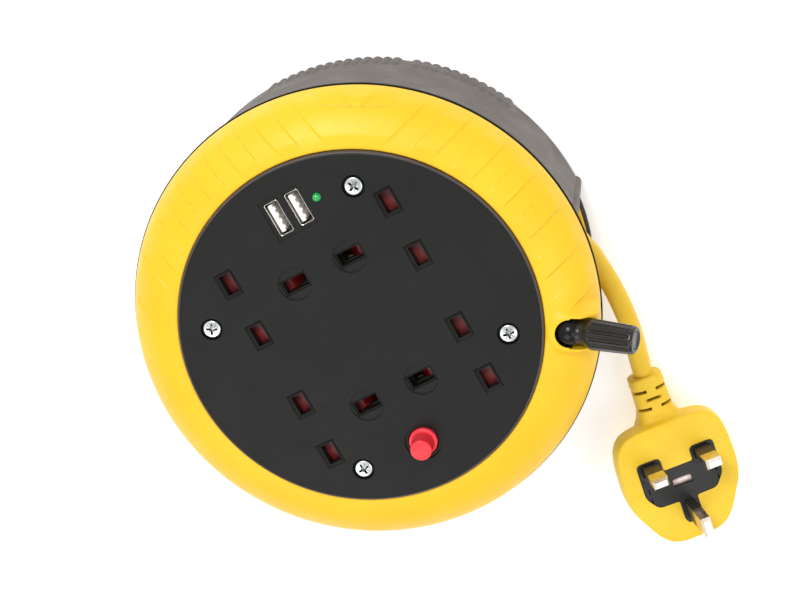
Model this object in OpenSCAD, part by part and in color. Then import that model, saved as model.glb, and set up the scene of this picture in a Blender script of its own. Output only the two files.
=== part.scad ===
// Cassette extension cord reel with four BS 1363 sockets, two USB ports, a
// thermal cut-out and a winding handle that folds out over the rim.
// Millimetres. +Z is the drum axis, z = 0 is the surface the reel lies on,
// the origin is on the drum axis, and the socket rows run along X.

/* [Reel] */
// Outside diameter of the yellow front ring
ring_d = 176; // [175:0.5:178]
// Outside diameter of the grey housing wall
housing_d = 174.2; // [174:0.1:174.8]
// Number of finger-grip ribs on the rim of the housing
rib_count = 26; // [14:1:28]
// Radius of one finger-grip rib
rib_r = 2.6; // [2.4:0.1:2.8]
// Radius of the hub that the cable is wound on
hub_r = 56; // [55:0.5:56.5]

/* [Sockets] */
// Distance from the drum axis to a socket's line and neutral pair, along X
sock_x = 33.84; // [33.5:0.02:34.2]
// Distance from the drum axis to a socket's centre line, along Y
sock_y = 26.49; // [26.3:0.01:26.7]
// Distance between line and neutral, and from them to earth
pin_pitch = 22.23; // [22.2:0.01:22.26]
// Width of a line or neutral aperture
ln_w = 4.7; // [4.6:0.1:4.9]
// Length of a line or neutral aperture
ln_l = 7.9; // [7.6:0.1:8.0]
// Length of an earth aperture
e_l = 9.2; // [9:0.1:9.4]
// Width of an earth aperture
e_w = 4.8; // [4.7:0.1:4.9]
// Radius of the circle of the four plate screws
screw_pcd_r = 54.87; // [54.5:0.01:55.2]

/* [Reset button] */
// Radius of the red button's cap
button_r = 4.1; // [3.8:0.1:4.3]
// How far the button's cap stands above the plate
button_h = 8.5; // [7:0.5:9]

/* [Winding handle] */
// Angle of the handle around the drum axis
handle_a = -27.9; // [-28.5:0.1:-27]
// Distance of the handle's ball from the drum axis
ball_r = 76.9; // [76.5:0.1:77.2]
// Tilt of the folded handle above the face of the reel
grip_tilt = 21; // [20:1:24]
// Length of the handle from the ball's centre to the end of the grip
grip_l = 25.4; // [23:0.2:28]
// Number of flutes in the grip
flutes = 12; // [8:1:14]

/* [Cable and plug] */
// Diameter of the cable
cable_d = 8; // [7.6:0.1:8.2]
// Turn of the plug about the vertical
plug_yaw = -10; // [-11:1:-9]
// Tilt of the plug about its own long axis
plug_roll = 15; // [14:1:16]

/* [Hidden] */
$fn = 96;

// Colours
c_yellow = [0.98, 0.80, 0.10];
c_grey = [0.45, 0.42, 0.40];
c_black = [0.13, 0.13, 0.13];
c_red = [0.80, 0.13, 0.12];
c_steel = [0.72, 0.74, 0.76];
c_brass = [0.80, 0.62, 0.28];

// Heights on the drum axis
z_back = 2;        // outer back face of the housing
z_floor = 4.6;     // inner back face of the housing
z_rim = 58.4;      // front edge of the housing wall
z_flange = 8;      // back of the rear flange
z_wind0 = 10.4;    // start of the winding space
z_wind1 = 48;      // end of the winding space
z_bay = 50.5;      // floor of the socket bay
z_under = 75;      // underside of the socket plate
z_face = 78;       // face of the socket plate
ring_r = ring_d / 2;
wall_r = housing_d / 2;
inner_r = wall_r - 2;
flange_r = 83.6;
plate_r = 67.6;
win_a0 = -44;      // cable window, in degrees around the axis
win_a1 = -3.2;
rib_a0 = 26;       // first and last rib
rib_a1 = 90.5;
ball_z = 74;
half = pin_pitch / 2;
carrier_z0 = 66.5;
carrier_z1 = 69.3;

// ---------------------------------------------------------------- helpers

usb_posts = [[-11, 50.8], [12.2, 43.6]];
cutout_posts = [[-12.6, -48.8], [12.6, -48.8]];

// Local frame of one socket: +X points at its earth aperture
module at_socket(sx, sy)
    translate([sx * sock_x, sy * sock_y, 0])
        rotate([0, 0, sx > 0 ? 180 : 0]) children();

module each_socket()
    for (sx = [-1, 1], sy = [-1, 1]) at_socket(sx, sy) children();

// Local frame of the handle: +X outwards, origin at the ball's centre
module at_handle()
    rotate([0, 0, handle_a]) translate([ball_r, 0, ball_z]) children();

// +Z along the folded handle
module along_grip()
    at_handle() rotate([0, 90 - grip_tilt, 0]) children();

// Plug frame: origin in the pin face, +Y towards the cable, +Z along the pins
module at_plug()
    translate([70.6, -119.2, 22.6]) rotate([0, 0, plug_yaw]) rotate([0, plug_roll, 0]) children();

module block(x0, x1, y0, y1, z0, z1)
    translate([x0, y0, z0]) cube([x1 - x0, y1 - y0, z1 - z0]);

// Four-sided funnel, wide at the top
module funnel(w0, l0, w1, l1, z0, z1)
    intersection() {
        rotate([90, 0, 0]) linear_extrude(height = 40, center = true)
            polygon([[-w0 / 2, z0], [w0 / 2, z0], [w1 / 2, z1], [-w1 / 2, z1]]);
        rotate([90, 0, 90]) linear_extrude(height = 40, center = true)
            polygon([[-l0 / 2, z0], [l0 / 2, z0], [l1 / 2, z1], [-l1 / 2, z1]]);
    }

// Rod between two points
module rod(a, b, r, n = 24) {
    d = b - a;
    h = norm(d);
    translate(a) rotate([0, acos(d[2] / h), atan2(d[1], d[0])]) cylinder(r = r, h = h, $fn = n);
}

// Points with smooth in-between points, for bent tubes
function unit(v) = v / norm(v);
function mid(p, i) = let (a = p[max(i - 1, 0)], b = p[i], c = p[i + 1], d = p[min(i + 2, len(p) - 1)])
    (b * 9 + c * 9 - a - d) / 16;
function fine(p) = [for (i = [0 : len(p) - 1]) each i < len(p) - 1 ? [p[i], mid(p, i)] : [p[i]]];
function tangent(p, i, last) = i == 0 ? unit(p[1] - p[0])
    : i == len(p) - 1 ? (last == undef ? unit(p[i] - p[i - 1]) : last)
    : unit(p[i + 1] - p[i - 1]);

// Round tube along the points; `last` is its direction at the end
module tube(p, r, n, last) {
    rings = [for (i = [0 : len(p) - 1]) let (t = tangent(p, i, last), s = unit(cross(t, [0, 0, 1])), u = cross(s, t))
        for (k = [0 : n - 1]) p[i] + s * r * cos(360 * k / n) + u * r * sin(360 * k / n)];
    m = len(p);
    polyhedron(points = rings, faces = concat(
        [[for (k = [n - 1 : -1 : 0]) k]],
        [for (i = [0 : m - 2], k = [0 : n - 1])
            [i * n + k, i * n + (k + 1) % n, (i + 1) * n + (k + 1) % n, (i + 1) * n + k]],
        [[for (k = [0 : n - 1]) (m - 1) * n + k]]));
}

// Single-core wire through a list of points
module wire(pts, r = 1.1) tube(fine(pts), r, 8);

// Pan-head screw: head on z = 0, shank downwards
module pan_screw(head_r, head_h, shank_r, shank_l)
    difference() {
        union() {
            rotate_extrude() polygon([[0, 0], [head_r, 0], [head_r, head_h * 0.55],
                [head_r * 0.86, head_h * 0.86], [head_r * 0.55, head_h], [0, head_h]]);
            translate([0, 0, -shank_l]) cylinder(r = shank_r, h = shank_l + 0.01, $fn = 32);
        }
        for (a = [0, 90]) rotate([0, 0, a])
            block(-head_r * 0.62, head_r * 0.62, -head_r * 0.13, head_r * 0.13, head_h * 0.35, head_h + 1);
    }

// ---------------------------------------------------------------- housing (fixed body)

module rear_housing() color(c_grey) difference() {
    union() {
        difference() {
            // cup with a rounded back edge
            rotate_extrude($fn = 180) polygon([[0, z_back], [wall_r - 3.4, z_back], [wall_r - 2, 2.35],
                [wall_r - 0.9, 3.15], [wall_r - 0.25, 4.4], [wall_r, 6.2], [wall_r - 0.5, z_rim],
                [inner_r, z_rim], [inner_r, z_floor], [0, z_floor]]);
            // cable window, open to the front edge and notched into the back rim
            rotate([0, 0, win_a0]) rotate_extrude(angle = win_a1 - win_a0, $fn = 180)
                polygon([[inner_r - 0.3, 0], [100, 0], [100, 70], [inner_r - 0.3, 70]]);
        }
        // finger-grip ribs along the back of the rim
        for (i = [0 : rib_count - 1])
            rotate([0, 0, rib_a0 + (rib_a1 - rib_a0) * i / (rib_count - 1)]) translate([wall_r - 2.05, 0, 0]) {
                translate([0, 0, 3.6]) cylinder(r = rib_r, h = 9, $fn = 32);
                translate([0, 0, 12.6]) cylinder(r1 = rib_r, r2 = 1.9, h = 5, $fn = 32);
            }
        // rounded lips at both edges of the cable window
        for (a = [win_a1 + 1.2, win_a0 - 1.2]) rotate([0, 0, a]) translate([wall_r - 1.4, 0, 3.2])
            cylinder(r = 2.3, h = z_rim - 3.7, $fn = 48);
        // raised pad and rings on the back
        translate([0, 0, 1.2]) cylinder(r = 30, h = 1.2);
        rotate_extrude() polygon([[52, 1.4], [54, 1.4], [54, 2.4], [52, 2.4]]);
    }
    // keep the inside clear behind the lips and ribs
    translate([0, 0, z_floor]) cylinder(r = inner_r, h = 60, $fn = 180);
    // countersinks and holes for the spindle screws
    for (a = [0 : 90 : 270]) rotate([0, 0, a + 45]) translate([18, 0, 0]) {
        cylinder(r = 3.4, h = 2.9, $fn = 32);
        cylinder(r = 1.5, h = 6, $fn = 32);
    }
    // shallow seats for the feet
    for (a = [0 : 90 : 270]) rotate([0, 0, a + 45]) translate([70, 0, 0])
        cylinder(r = 7, h = 2.8, $fn = 48);
    // middle recess of the pad
    translate([0, 0, 0]) cylinder(r = 9, h = 1.8);
}

module rubber_feet() color(c_black)
    for (a = [0 : 90 : 270]) rotate([0, 0, a + 45]) translate([70, 0, 0])
        rotate_extrude($fn = 48) polygon([[0, 0], [6, 0], [6.8, 0.8], [7, 2.8], [0, 2.8]]);

module spindle() color(c_grey) difference() {
    union() {
        translate([0, 0, z_floor]) cylinder(r = 24, h = 5);
        translate([0, 0, 9]) cylinder(r = 9, h = 39.3);
    }
    translate([0, 0, 28]) cylinder(r = 2.5, h = 30, $fn = 32);
    for (a = [0 : 90 : 270]) rotate([0, 0, a + 45]) translate([18, 0, 0])
        cylinder(r = 1.5, h = 9, $fn = 32);
}

module spindle_screws() color(c_steel)
    for (a = [0 : 90 : 270]) rotate([0, 0, a + 45]) translate([18, 0, 2.9])
        mirror([0, 0, 1]) pan_screw(3.2, 1.5, 1.5, 5.9);

module thrust_washer() color("whitesmoke") translate([0, 0, 9.6]) difference() {
    cylinder(r = 14, h = 1.3);
    translate([0, 0, -1]) cylinder(r = 9.1, h = 4);
}

module retaining_washer() color(c_steel) translate([0, 0, 48.3]) difference() {
    cylinder(r = 13.2, h = 1.6);
    translate([0, 0, -1]) cylinder(r = 2.5, h = 4, $fn = 32);
}

module retaining_screw() color(c_steel) translate([0, 0, 49.9]) pan_screw(5, 3, 2.5, 20);

// ---------------------------------------------------------------- drum (turning body)

// Flattened quarter ellipse of the ring's crown: r and z at angle t
function crown(t) = [68.1 + (ring_r - 68.1) * pow(sin(t), 1.2), 60.8 + 15.5 * pow(cos(t), 1.2)];
function under_crown(t) = [68.6 + (ring_r - 2.5 - 68.6) * pow(sin(t), 1.2), 60.8 + 12.7 * pow(cos(t), 1.2)];

module front_ring() color(c_yellow) union() {
    ring_body();
    // posts for the plate screws
    for (k = [0 : 3]) rotate([0, 0, handle_a + 90 * k]) translate([screw_pcd_r, 0, z_bay - 0.4]) difference() {
        cylinder(r = 4, h = z_under - z_bay + 0.4, $fn = 48);
        translate([0, 0, 5.5]) cylinder(r = 1.6, h = 30, $fn = 32);
    }
}

module ring_body() difference() {
    union() {
        rotate_extrude($fn = 180) polygon(concat(
            [[68.1, 74.9]],
            [for (i = [0 : 12]) crown(i * 7.5)],
            [[ring_r, 59.4], [ring_r - 2.5, 59.4]],
            [for (i = [10 : -1 : 1]) under_crown(i * 9)],
            [[68.6, 73.0], [68.6, z_bay], [flange_r, z_bay], [flange_r, z_wind1], [15.5, z_wind1],
             [15.5, z_bay], [66, z_bay], [66, 74.9]]));
        // mound that carries the handle's ball
        at_handle() translate([0, 0, -12]) rotate_extrude($fn = 64) polygon([[0, 0], [8.3, 0], [8.9, 6],
            [8.8, 10.2], [8.4, 12.2], [7.8, 13.6], [7, 14.6], [6, 15.2], [0, 15.3]]);
    }
    // the mound stays out of the bay
    translate([0, 0, z_bay]) cylinder(r = 66, h = 24.4, $fn = 180);
    translate([0, 0, 74.9]) cylinder(r = 68.1, h = 10, $fn = 180);
    // pocket for the ball and the path of the neck and grip
    at_handle() sphere(r = 5.35, $fn = 64);
    at_handle() cylinder(r = 5.9, h = 20, $fn = 64);
    along_grip() translate([0, 0, 1.5]) cylinder(r = 5.9, h = 40, $fn = 64);
    along_grip() translate([0, 0, 8]) cylinder(r = 6.2, h = 40, $fn = 64);
    at_handle() rotate([90, 0, 0]) linear_extrude(height = 11.8, center = true)
        polygon([[0, 0], [40 * cos(grip_tilt), 40 * sin(grip_tilt)], [40, 60], [0, 60]]);
    // bore for the handle's pin
    at_handle() rotate([90, 0, 0]) cylinder(r = 1.25, h = 15.8, center = true, $fn = 32);
    // drum screws and the cable's way into the bay
    for (a = [45 : 90 : 315]) rotate([0, 0, a]) translate([36, 0, 40]) cylinder(r = 1.6, h = 12, $fn = 32);
    translate([40, 0, 40]) cylinder(r = 4.4, h = 12, $fn = 48);
    // clamp screw holes
    for (s = [-1, 1]) translate([32.2, 8.8 * s, 40]) cylinder(r = 1.2, h = 12, $fn = 24);
}

module drum_hub() color(c_yellow) difference() {
    union() {
        // hub tube and its top web
        difference() {
            translate([0, 0, z_wind0]) cylinder(r = hub_r, h = z_wind1 - z_wind0, $fn = 128);
            translate([0, 0, z_wind0 - 1]) cylinder(r = hub_r - 2.4, h = z_wind1 - z_wind0 - 1.5, $fn = 128);
        }
        // bearing tube
        translate([0, 0, 11.2]) cylinder(r = 13.6, h = z_wind1 - 11.2);
        // ribs
        for (a = [22.5 : 45 : 337.5]) rotate([0, 0, a]) block(12.5, hub_r - 1.5, -1, 1, 30, 47);
        // bosses for the drum screws and the flange screws
        for (a = [45 : 90 : 315]) rotate([0, 0, a]) {
            translate([36, 0, 34]) cylinder(r = 3.6, h = 13, $fn = 32);
            translate([48.5, 0, z_wind0]) cylinder(r = 4, h = 36, $fn = 32);
        }
    }
    translate([0, 0, 5]) cylinder(r = 11, h = 50);
    for (a = [45 : 90 : 315]) rotate([0, 0, a]) {
        translate([36, 0, 38]) cylinder(r = 1.6, h = 12, $fn = 32);
        translate([48.5, 0, 5]) cylinder(r = 1.5, h = 17, $fn = 32);
    }
    // the cable's way in
    translate([30, 0, 18]) rotate([0, 90, 0]) cylinder(r = 4.4, h = 40, $fn = 48);
    translate([40, 0, 40]) cylinder(r = 4.4, h = 12, $fn = 48);
    for (s = [-1, 1]) translate([32.2, 8.8 * s, 44]) cylinder(r = 1.2, h = 6, $fn = 24);
}

module rear_flange() color(c_yellow) difference() {
    rotate_extrude($fn = 180) polygon([[27, z_flange], [flange_r - 0.6, z_flange], [flange_r, z_flange + 0.6],
        [flange_r, z_wind0 - 0.6], [flange_r - 0.6, z_wind0], [27, z_wind0]]);
    for (a = [45 : 90 : 315]) rotate([0, 0, a]) translate([48.5, 0, 0]) cylinder(r = 1.5, h = 12, $fn = 32);
}

module hub_bush() color(c_brass) translate([0, 0, 11.2]) difference() {
    cylinder(r = 11, h = 36.8);
    translate([0, 0, -1]) cylinder(r = 9.05, h = 40);
}

module flange_screws() color(c_steel)
    for (a = [45 : 90 : 315]) rotate([0, 0, a]) translate([48.5, 0, z_flange])
        mirror([0, 0, 1]) pan_screw(3, 1.8, 1.5, 13.5);

module drum_screws() color(c_steel)
    for (a = [45 : 90 : 315]) rotate([0, 0, a]) translate([36, 0, z_bay]) pan_screw(3.2, 2, 1.6, 11.5);

// Outer shape of the winding: three layers of turns on the hub
module wound_cable() color(c_yellow) rotate_extrude($fn = 128)
    polygon([[hub_r + 0.1, 11], [79.3, 11], [80.3, 12.2], [80.3, 44.6], [79.3, 46], [hub_r + 0.1, 46]]);

// The cable's inner end: through the hub, up into the bay and along its floor
module cable_tail() color(c_yellow) {
    r = cable_d / 2;
    rod([hub_r + 0.1, 0, 18], [40, 0, 18], r, 48);
    translate([40, 0, 18]) sphere(r = r, $fn = 48);
    rod([40, 0, 18], [40, 0, 55], r, 48);
    translate([40, 0, 55]) sphere(r = r, $fn = 48);
    rod([40, 0, 55], [20.4, 0, 55], r, 48);
}

module cord_clamp() color("gainsboro") difference() {
    union() {
        block(29.2, 35.2, -11.2, 11.2, z_bay, z_bay + 3);
        block(29.2, 35.2, -6.4, 6.4, z_bay, 61);
    }
    translate([20, 0, 55]) rotate([0, 90, 0]) cylinder(r = cable_d / 2 + 0.02, h = 30, $fn = 48);
    block(20, 40, -4.02, 4.02, 50, 55);
    for (s = [-1, 1]) translate([32.2, 8.8 * s, 40]) cylinder(r = 1.2, h = 20, $fn = 24);
}

module clamp_screws() color(c_steel)
    for (s = [-1, 1]) translate([32.2, 8.8 * s, z_bay + 3]) pan_screw(2.1, 1.4, 1.2, 8.5);

module aperture_ln(z0, z1) block(-ln_w / 2, ln_w / 2, -ln_l / 2, ln_l / 2, z0, z1);

module socket_plate() color(c_black) difference() {
    union() {
        rotate_extrude($fn = 180) polygon([[0, z_under], [plate_r, z_under], [plate_r, 76.9],
            [plate_r - 0.4, 77.6], [plate_r - 1.1, z_face], [0, z_face]]);
        // guide walls under the apertures
        each_socket() {
            for (s = [-1, 1]) translate([0, s * half, 0])
                block(-ln_w / 2 - 1.4, ln_w / 2 + 1.4, -ln_l / 2 - 1.4, ln_l / 2 + 1.4, 73, z_under + 0.5);
            translate([pin_pitch, 0, 0])
                block(-e_l / 2 - 1.4, e_l / 2 + 1.4, -e_w / 2 - 1.4, e_w / 2 + 1.4, 73, z_under + 0.5);
        }
        // posts for the USB board and for the thermal cut-out
        for (p = usb_posts) translate([p[0], p[1], 63.6]) cylinder(r = 1.9, h = z_under + 0.5 - 63.6, $fn = 32);
        for (p = cutout_posts) translate([p[0], p[1], 68.4]) cylinder(r = 2.1, h = z_under + 0.5 - 68.4, $fn = 32);
        // bosses for the contact carrier
        for (p = [[22, 0], [-22, 0], [0, 36], [0, -34]]) translate([p[0], p[1], carrier_z1])
            cylinder(r = 3.2, h = z_under + 0.5 - carrier_z1, $fn = 32);
    }
    each_socket() {
        for (s = [-1, 1]) translate([0, s * half, 0]) {
            aperture_ln(70, 80);
            funnel(ln_w + 0.8, ln_l + 0.8, ln_w + 2.8, ln_l + 2.8, z_face - 0.9, z_face + 0.01);
        }
        translate([pin_pitch, 0, 0]) {
            block(-e_l / 2, e_l / 2, -e_w / 2, e_w / 2, 70, 80);
            funnel(e_l + 0.6, e_w + 0.6, e_l + 2, e_w + 2, z_face - 1.1, z_face + 0.01);
            translate([0, 0, z_face - 0.5]) cylinder(r = 6.3, h = 1, $fn = 64);
        }
    }
    // sunk plate screws
    for (k = [0 : 3]) rotate([0, 0, handle_a + 90 * k]) translate([screw_pcd_r, 0, 0]) {
        translate([0, 0, 76]) cylinder(r = 4.2, h = 4, $fn = 48);
        translate([0, 0, 70]) cylinder(r = 1.9, h = 10, $fn = 32);
    }
    // USB windows in a shallow frame, and the indicator's hole
    for (s = [-1, 1]) translate([4.3 * s, 50.8, 0]) block(-3, 3, -6.7, 6.7, 70, 80);
    block(-8.6, 8.6, 42.9, 58.7, z_face - 0.35, 80);
    translate([12, 51.2, 70]) cylinder(r = 1.75, h = 10, $fn = 48);
    // reset button's hole
    translate([0, -48.8, 70]) cylinder(r = 5.8, h = 10, $fn = 64);
    translate([0, -48.8, 77.3]) cylinder(r = 7, h = 3, $fn = 64);
    for (p = usb_posts) translate([p[0], p[1], 60]) cylinder(r = 1, h = 9, $fn = 24);
    for (p = cutout_posts) translate([p[0], p[1], 60]) cylinder(r = 1, h = 13, $fn = 24);
    // carrier screw holes
    for (p = [[22, 0], [-22, 0], [0, 36], [0, -34]]) translate([p[0], p[1], 60]) cylinder(r = 1.2, h = 14, $fn = 24);
}

module plate_screws() color(c_steel)
    for (k = [0 : 3]) rotate([0, 0, handle_a + 90 * k]) translate([screw_pcd_r, 0, 76])
        rotate([0, 0, 20 + 35 * k]) pan_screw(3.5, 2.1, 1.6, 20);

module contact_carrier() color("dimgray") difference() {
    union() {
        difference() {
            translate([0, 0, carrier_z0]) cylinder(r = 58, h = carrier_z1 - carrier_z0);
            // cut away for the USB module and for the cut-out
            block(-17, 17, 40, 60, 60, 70);
            block(-15.5, 15.5, -60, -39.6, 60, 70);
            for (k = [0 : 3]) rotate([0, 0, handle_a + 90 * k]) translate([screw_pcd_r, 0, 60])
                cylinder(r = 5, h = 12, $fn = 48);
        }
        // rails and spring pegs for the shutters
        each_socket() {
            for (s = [-1, 1]) block(6, 12, 3.05 * s - (s < 0 ? 0.95 : 0), 3.05 * s + (s > 0 ? 0.95 : 0), carrier_z1 - 0.2, 72);
            block(5.3, 6.7, -1.4, 1.4, carrier_z1 - 0.2, 72.1);
        }
    }
    each_socket() {
        for (s = [-1, 1]) translate([0, s * half, 0]) block(-2.7, 2.7, -4.2, 4.2, 60, 80);
        block(12.5, 27, -2.7, 2.7, 60, 80);
    }
    for (p = [[22, 0], [-22, 0], [0, 36], [0, -34]]) translate([p[0], p[1], 60]) cylinder(r = 1.2, h = 14, $fn = 24);
}

module carrier_screws() color(c_steel)
    for (p = [[22, 0], [-22, 0], [0, 36], [0, -34]]) translate([p[0], p[1], carrier_z0])
        mirror([0, 0, 1]) pan_screw(2.4, 1.6, 1.2, 7);

// Folded contact: two leaves and a foot, pin along Z, wide side along Y
module contact(gap, wide, z0) difference() {
    block(-gap / 2 - 0.7, gap / 2 + 0.7, -wide / 2, wide / 2, z0, carrier_z0);
    block(-gap / 2, gap / 2, -wide / 2 - 1, wide / 2 + 1, z0 + 0.8, carrier_z0 + 1);
}

// Pair of line or neutral contacts with the strip that joins them
module contact_pair(x, y1, y2, strip_x) {
    for (y = [y1, y2]) {
        translate([x, y, 0]) contact(3.8, 6, 59.2);
        block(min(x, strip_x), max(x, strip_x), y - 2, y + 2, 59.2, 60);
    }
    block(strip_x - 0.8, strip_x + 0.8, min(y1, y2) - 2, max(y1, y2) + 2, 59.2, 60);
}

module live_contacts() color(c_brass) {
    contact_pair(sock_x, sock_y + half, -sock_y + half, 27.8);
    contact_pair(-sock_x, sock_y - half, -sock_y - half, -27.8);
}

module neutral_contacts() color(c_brass) {
    contact_pair(sock_x, sock_y - half, -sock_y - half, 40.8);
    contact_pair(-sock_x, sock_y + half, -sock_y + half, -40.8);
}

module earth_contacts() color(c_brass)
    for (s = [-1, 1]) translate([0, s * sock_y, 0]) {
        for (t = [-1, 1]) translate([t * (sock_x - pin_pitch), 0, 0]) rotate([0, 0, 90]) contact(3.8, 8, 53.4);
        block(-14, 14, -2.6, 2.6, 53.4, 54.2);
    }

module live_wires() color("saddlebrown") {
    wire([[20.38, 1.6, 55], [19.4, 1.6, 55], [18.2, 1.6, 55], [14, 0.5, 55.5], [8, -6, 57], [3, -16, 58], [-1, -30, 57],
        [-5, -42, 54.8], [-5, -46, 54.2], [-5, -47.2, 54.2], [-5, -48.38, 54.2]]);
    wire([[5, -48.38, 54.2], [5, -47.2, 54.2], [5, -46, 54.2], [11, -40, 55], [20, -30.5, 58], [24.6, -22, 60.8],
        [27.8, -14, 61.1]]);
    wire([[27.8, 6, 61.1], [14, 6, 61.1], [-14, 6, 61.1], [-27.8, 6, 61.1]]);
    wire([[27.8, 34, 61.1], [22, 38.5, 61.2], [18.5, 44, 60.5], [17.5, 49, 59.6], [15.6, 50, 59.5], [13, 50, 59.5]]);
}

module neutral_wires() color("steelblue") {
    wire([[20.38, -1.6, 55], [19.4, -1.6, 55], [18.4, -1.6, 55], [16, -4, 56.5], [18, -8.3, 59.6], [24, -9.4, 61.8], [33, -9.4, 62],
        [40.8, -9.6, 61.1]]);
    wire([[40.8, 9.5, 61.1], [36, 9.5, 61.9], [28, 9.5, 62.4], [0, 9.5, 62.4], [-28, 9.5, 62.4], [-36, 9.5, 61.9],
        [-40.8, 9.5, 61.1]]);
    wire([[-40.8, 30, 61.1], [-34, 28, 61.8], [-26, 33, 62], [-18, 42, 60.8], [-13, 47.4, 60.1], [-11, 48, 60], [-9, 48, 60]]);
}

module earth_wires() color("yellowgreen") {
    wire([[20.38, 0, 57.2], [19.4, 0, 57.2], [18.3, 0.3, 57.4], [16.6, 3, 58], [15.6, 9, 58], [14.6, 15, 59.6], [12.4, 19.6, 62],
        [11.6, 22.8, 63.4]]);
    wire([[-11.6, 22.8, 63.6], [-14, 15, 64.8], [-15, 0, 64.9], [-14, -15, 64.8], [-11.6, -22.8, 63.6]]);
}

module usb_board() color("seagreen") difference() {
    block(-13, 15, 41.5, 59.5, 62, 63.6);
    for (p = usb_posts) translate([p[0], p[1], 60]) cylinder(r = 1.05, h = 5, $fn = 24);
}

module usb_screws() color(c_steel) for (p = usb_posts) translate([p[0], p[1], 62])
    mirror([0, 0, 1]) pan_screw(1.8, 1.2, 1, 6);

module usb_transformer() color("goldenrod") {
    block(-9, 5, 43, 57, 54, 62);
    block(7, 13, 46, 56, 56, 62);
}

module usb_shells() color(c_steel) for (s = [-1, 1]) translate([4.3 * s, 50.8, 0]) difference() {
    block(-2.85, 2.85, -6.55, 6.55, 63.6, 77.6);
    block(-2.5, 2.5, -6.2, 6.2, 64, 80);
}

module usb_tongues() color("white") for (s = [-1, 1]) translate([4.3 * s, 50.8, 0]) {
    block(-1.9, 0, -5.5, 5.5, 64, 76.9);
    block(-2.5, 2.5, -6.2, 6.2, 64, 66);
}

module status_led() color([0.05, 0.55, 0.25]) translate([12, 51.2, 0]) {
    translate([0, 0, 70]) cylinder(r = 1.65, h = 7.9, $fn = 48);
    translate([0, 0, 77.9]) sphere(r = 1.65, $fn = 48);
    translate([0, 0, 69]) cylinder(r = 2.2, h = 1.2, $fn = 48);
    for (s = [-1, 1]) translate([s * 0.9, 0, 63.6]) cylinder(r = 0.3, h = 5.5, $fn = 24);
}

module thermal_cutout() color("#2b2b30") difference() {
    union() {
        block(-10, 10, -56.8, -40.8, 57.5, 70.5);
        translate([0, -48.8, 70]) cylinder(r = 5.2, h = 1.5, $fn = 64);
        // ears
        block(-14.8, 14.8, -51.2, -46.4, 66.8, 68.4);
    }
    // bore and chamber for the button's stem and its foot
    translate([0, -48.8, 62.5]) cylinder(r = 2.25, h = 12, $fn = 48);
    translate([0, -48.8, 61]) cylinder(r = 3.6, h = 5, $fn = 48);
    for (p = cutout_posts) translate([p[0], p[1], 60]) cylinder(r = 1.05, h = 13, $fn = 24);
}

module cutout_screws() color(c_steel) for (p = cutout_posts) translate([p[0], p[1], 66.8])
    mirror([0, 0, 1]) pan_screw(1.9, 1.2, 1, 5.5);

module cutout_terminals() color(c_brass)
    for (s = [-1, 1]) block(5 * s - 1.6, 5 * s + 1.6, -49.2, -48.4, 53, 57.5);

module reset_button() color(c_red) translate([0, -48.8, 0]) {
    rotate_extrude($fn = 64) polygon([[0, 64.4], [3.2, 64.4], [3.2, 65.9], [2.2, 65.9], [2.2, 76.2], [5.35, 76.2], [5.4, 78], [5.0, 78.5],
        [button_r + 0.25, 78.5], [button_r + 0.05, 79], [button_r, z_face + button_h - 0.6],
        [button_r - 0.5, z_face + button_h], [0, z_face + button_h]]);
}

module reset_spring() color(c_steel) translate([0, -48.8, 71.5]) difference() {
    cylinder(r = 3.6, h = 4.7, $fn = 48);
    translate([0, 0, -1]) cylinder(r = 2.8, h = 7, $fn = 48);
}

// One shutter: a bar behind the line and neutral apertures, and a stem that
// ends in a wedge in the earth aperture
module shutter() difference() {
    union() {
        block(-3, 3.2, -15.4, 15.4, 69.5, 72.4);
        block(3, 18, -2.8, 2.8, 69.5, 72.4);
        rotate([90, 0, 0]) linear_extrude(height = 4.4, center = true)
            polygon([[17, 69.5], [17, 72.4], [19.8, 72.4], [24.2, 67], [22.8, 67], [19.4, 69.5]]);
    }
    block(5, 15.5, -1.9, 1.9, 60, 80);
}
module shutter_a() color(c_red) at_socket(1, 1) shutter();
module shutter_b() color(c_red) at_socket(-1, 1) shutter();
module shutter_c() color(c_red) at_socket(1, -1) shutter();
module shutter_d() color(c_red) at_socket(-1, -1) shutter();

module shutter_spring() translate([6.75, 0, 70.95]) rotate([0, 90, 0]) difference() {
    cylinder(r = 1.4, h = 8.7, $fn = 32);
    translate([0, 0, -1]) cylinder(r = 1, h = 11, $fn = 32);
}
module shutter_spring_a() color(c_steel) at_socket(1, 1) shutter_spring();
module shutter_spring_b() color(c_steel) at_socket(-1, 1) shutter_spring();
module shutter_spring_c() color(c_steel) at_socket(1, -1) shutter_spring();
module shutter_spring_d() color(c_steel) at_socket(-1, -1) shutter_spring();

// ---------------------------------------------------------------- winding handle

module handle_pin() color(c_steel)
    at_handle() rotate([90, 0, 0]) cylinder(r = 1.25, h = 15.6, center = true, $fn = 32);

module handle_core() color(c_black) difference() {
    along_grip() union() {
        sphere(r = 4.85, $fn = 64);
        cylinder(r = 2.6, h = grip_l - 2.25, $fn = 48);
    }
    at_handle() rotate([90, 0, 0]) cylinder(r = 1.3, h = 20, center = true, $fn = 32);
    along_grip() translate([0, 0, grip_l - 10]) cylinder(r = 1.2, h = 20, $fn = 32);
}

module grip_screw() color("#202020") along_grip() translate([0, 0, grip_l - 2.25])
    difference() {
        union() {
            cylinder(r = 3.1, h = 1.75, $fn = 48);
            translate([0, 0, -7.7]) cylinder(r = 1.2, h = 7.8, $fn = 32);
        }
        translate([0, 0, 1.2]) cylinder(r = 2.2, h = 2, $fn = 48);
    }

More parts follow.
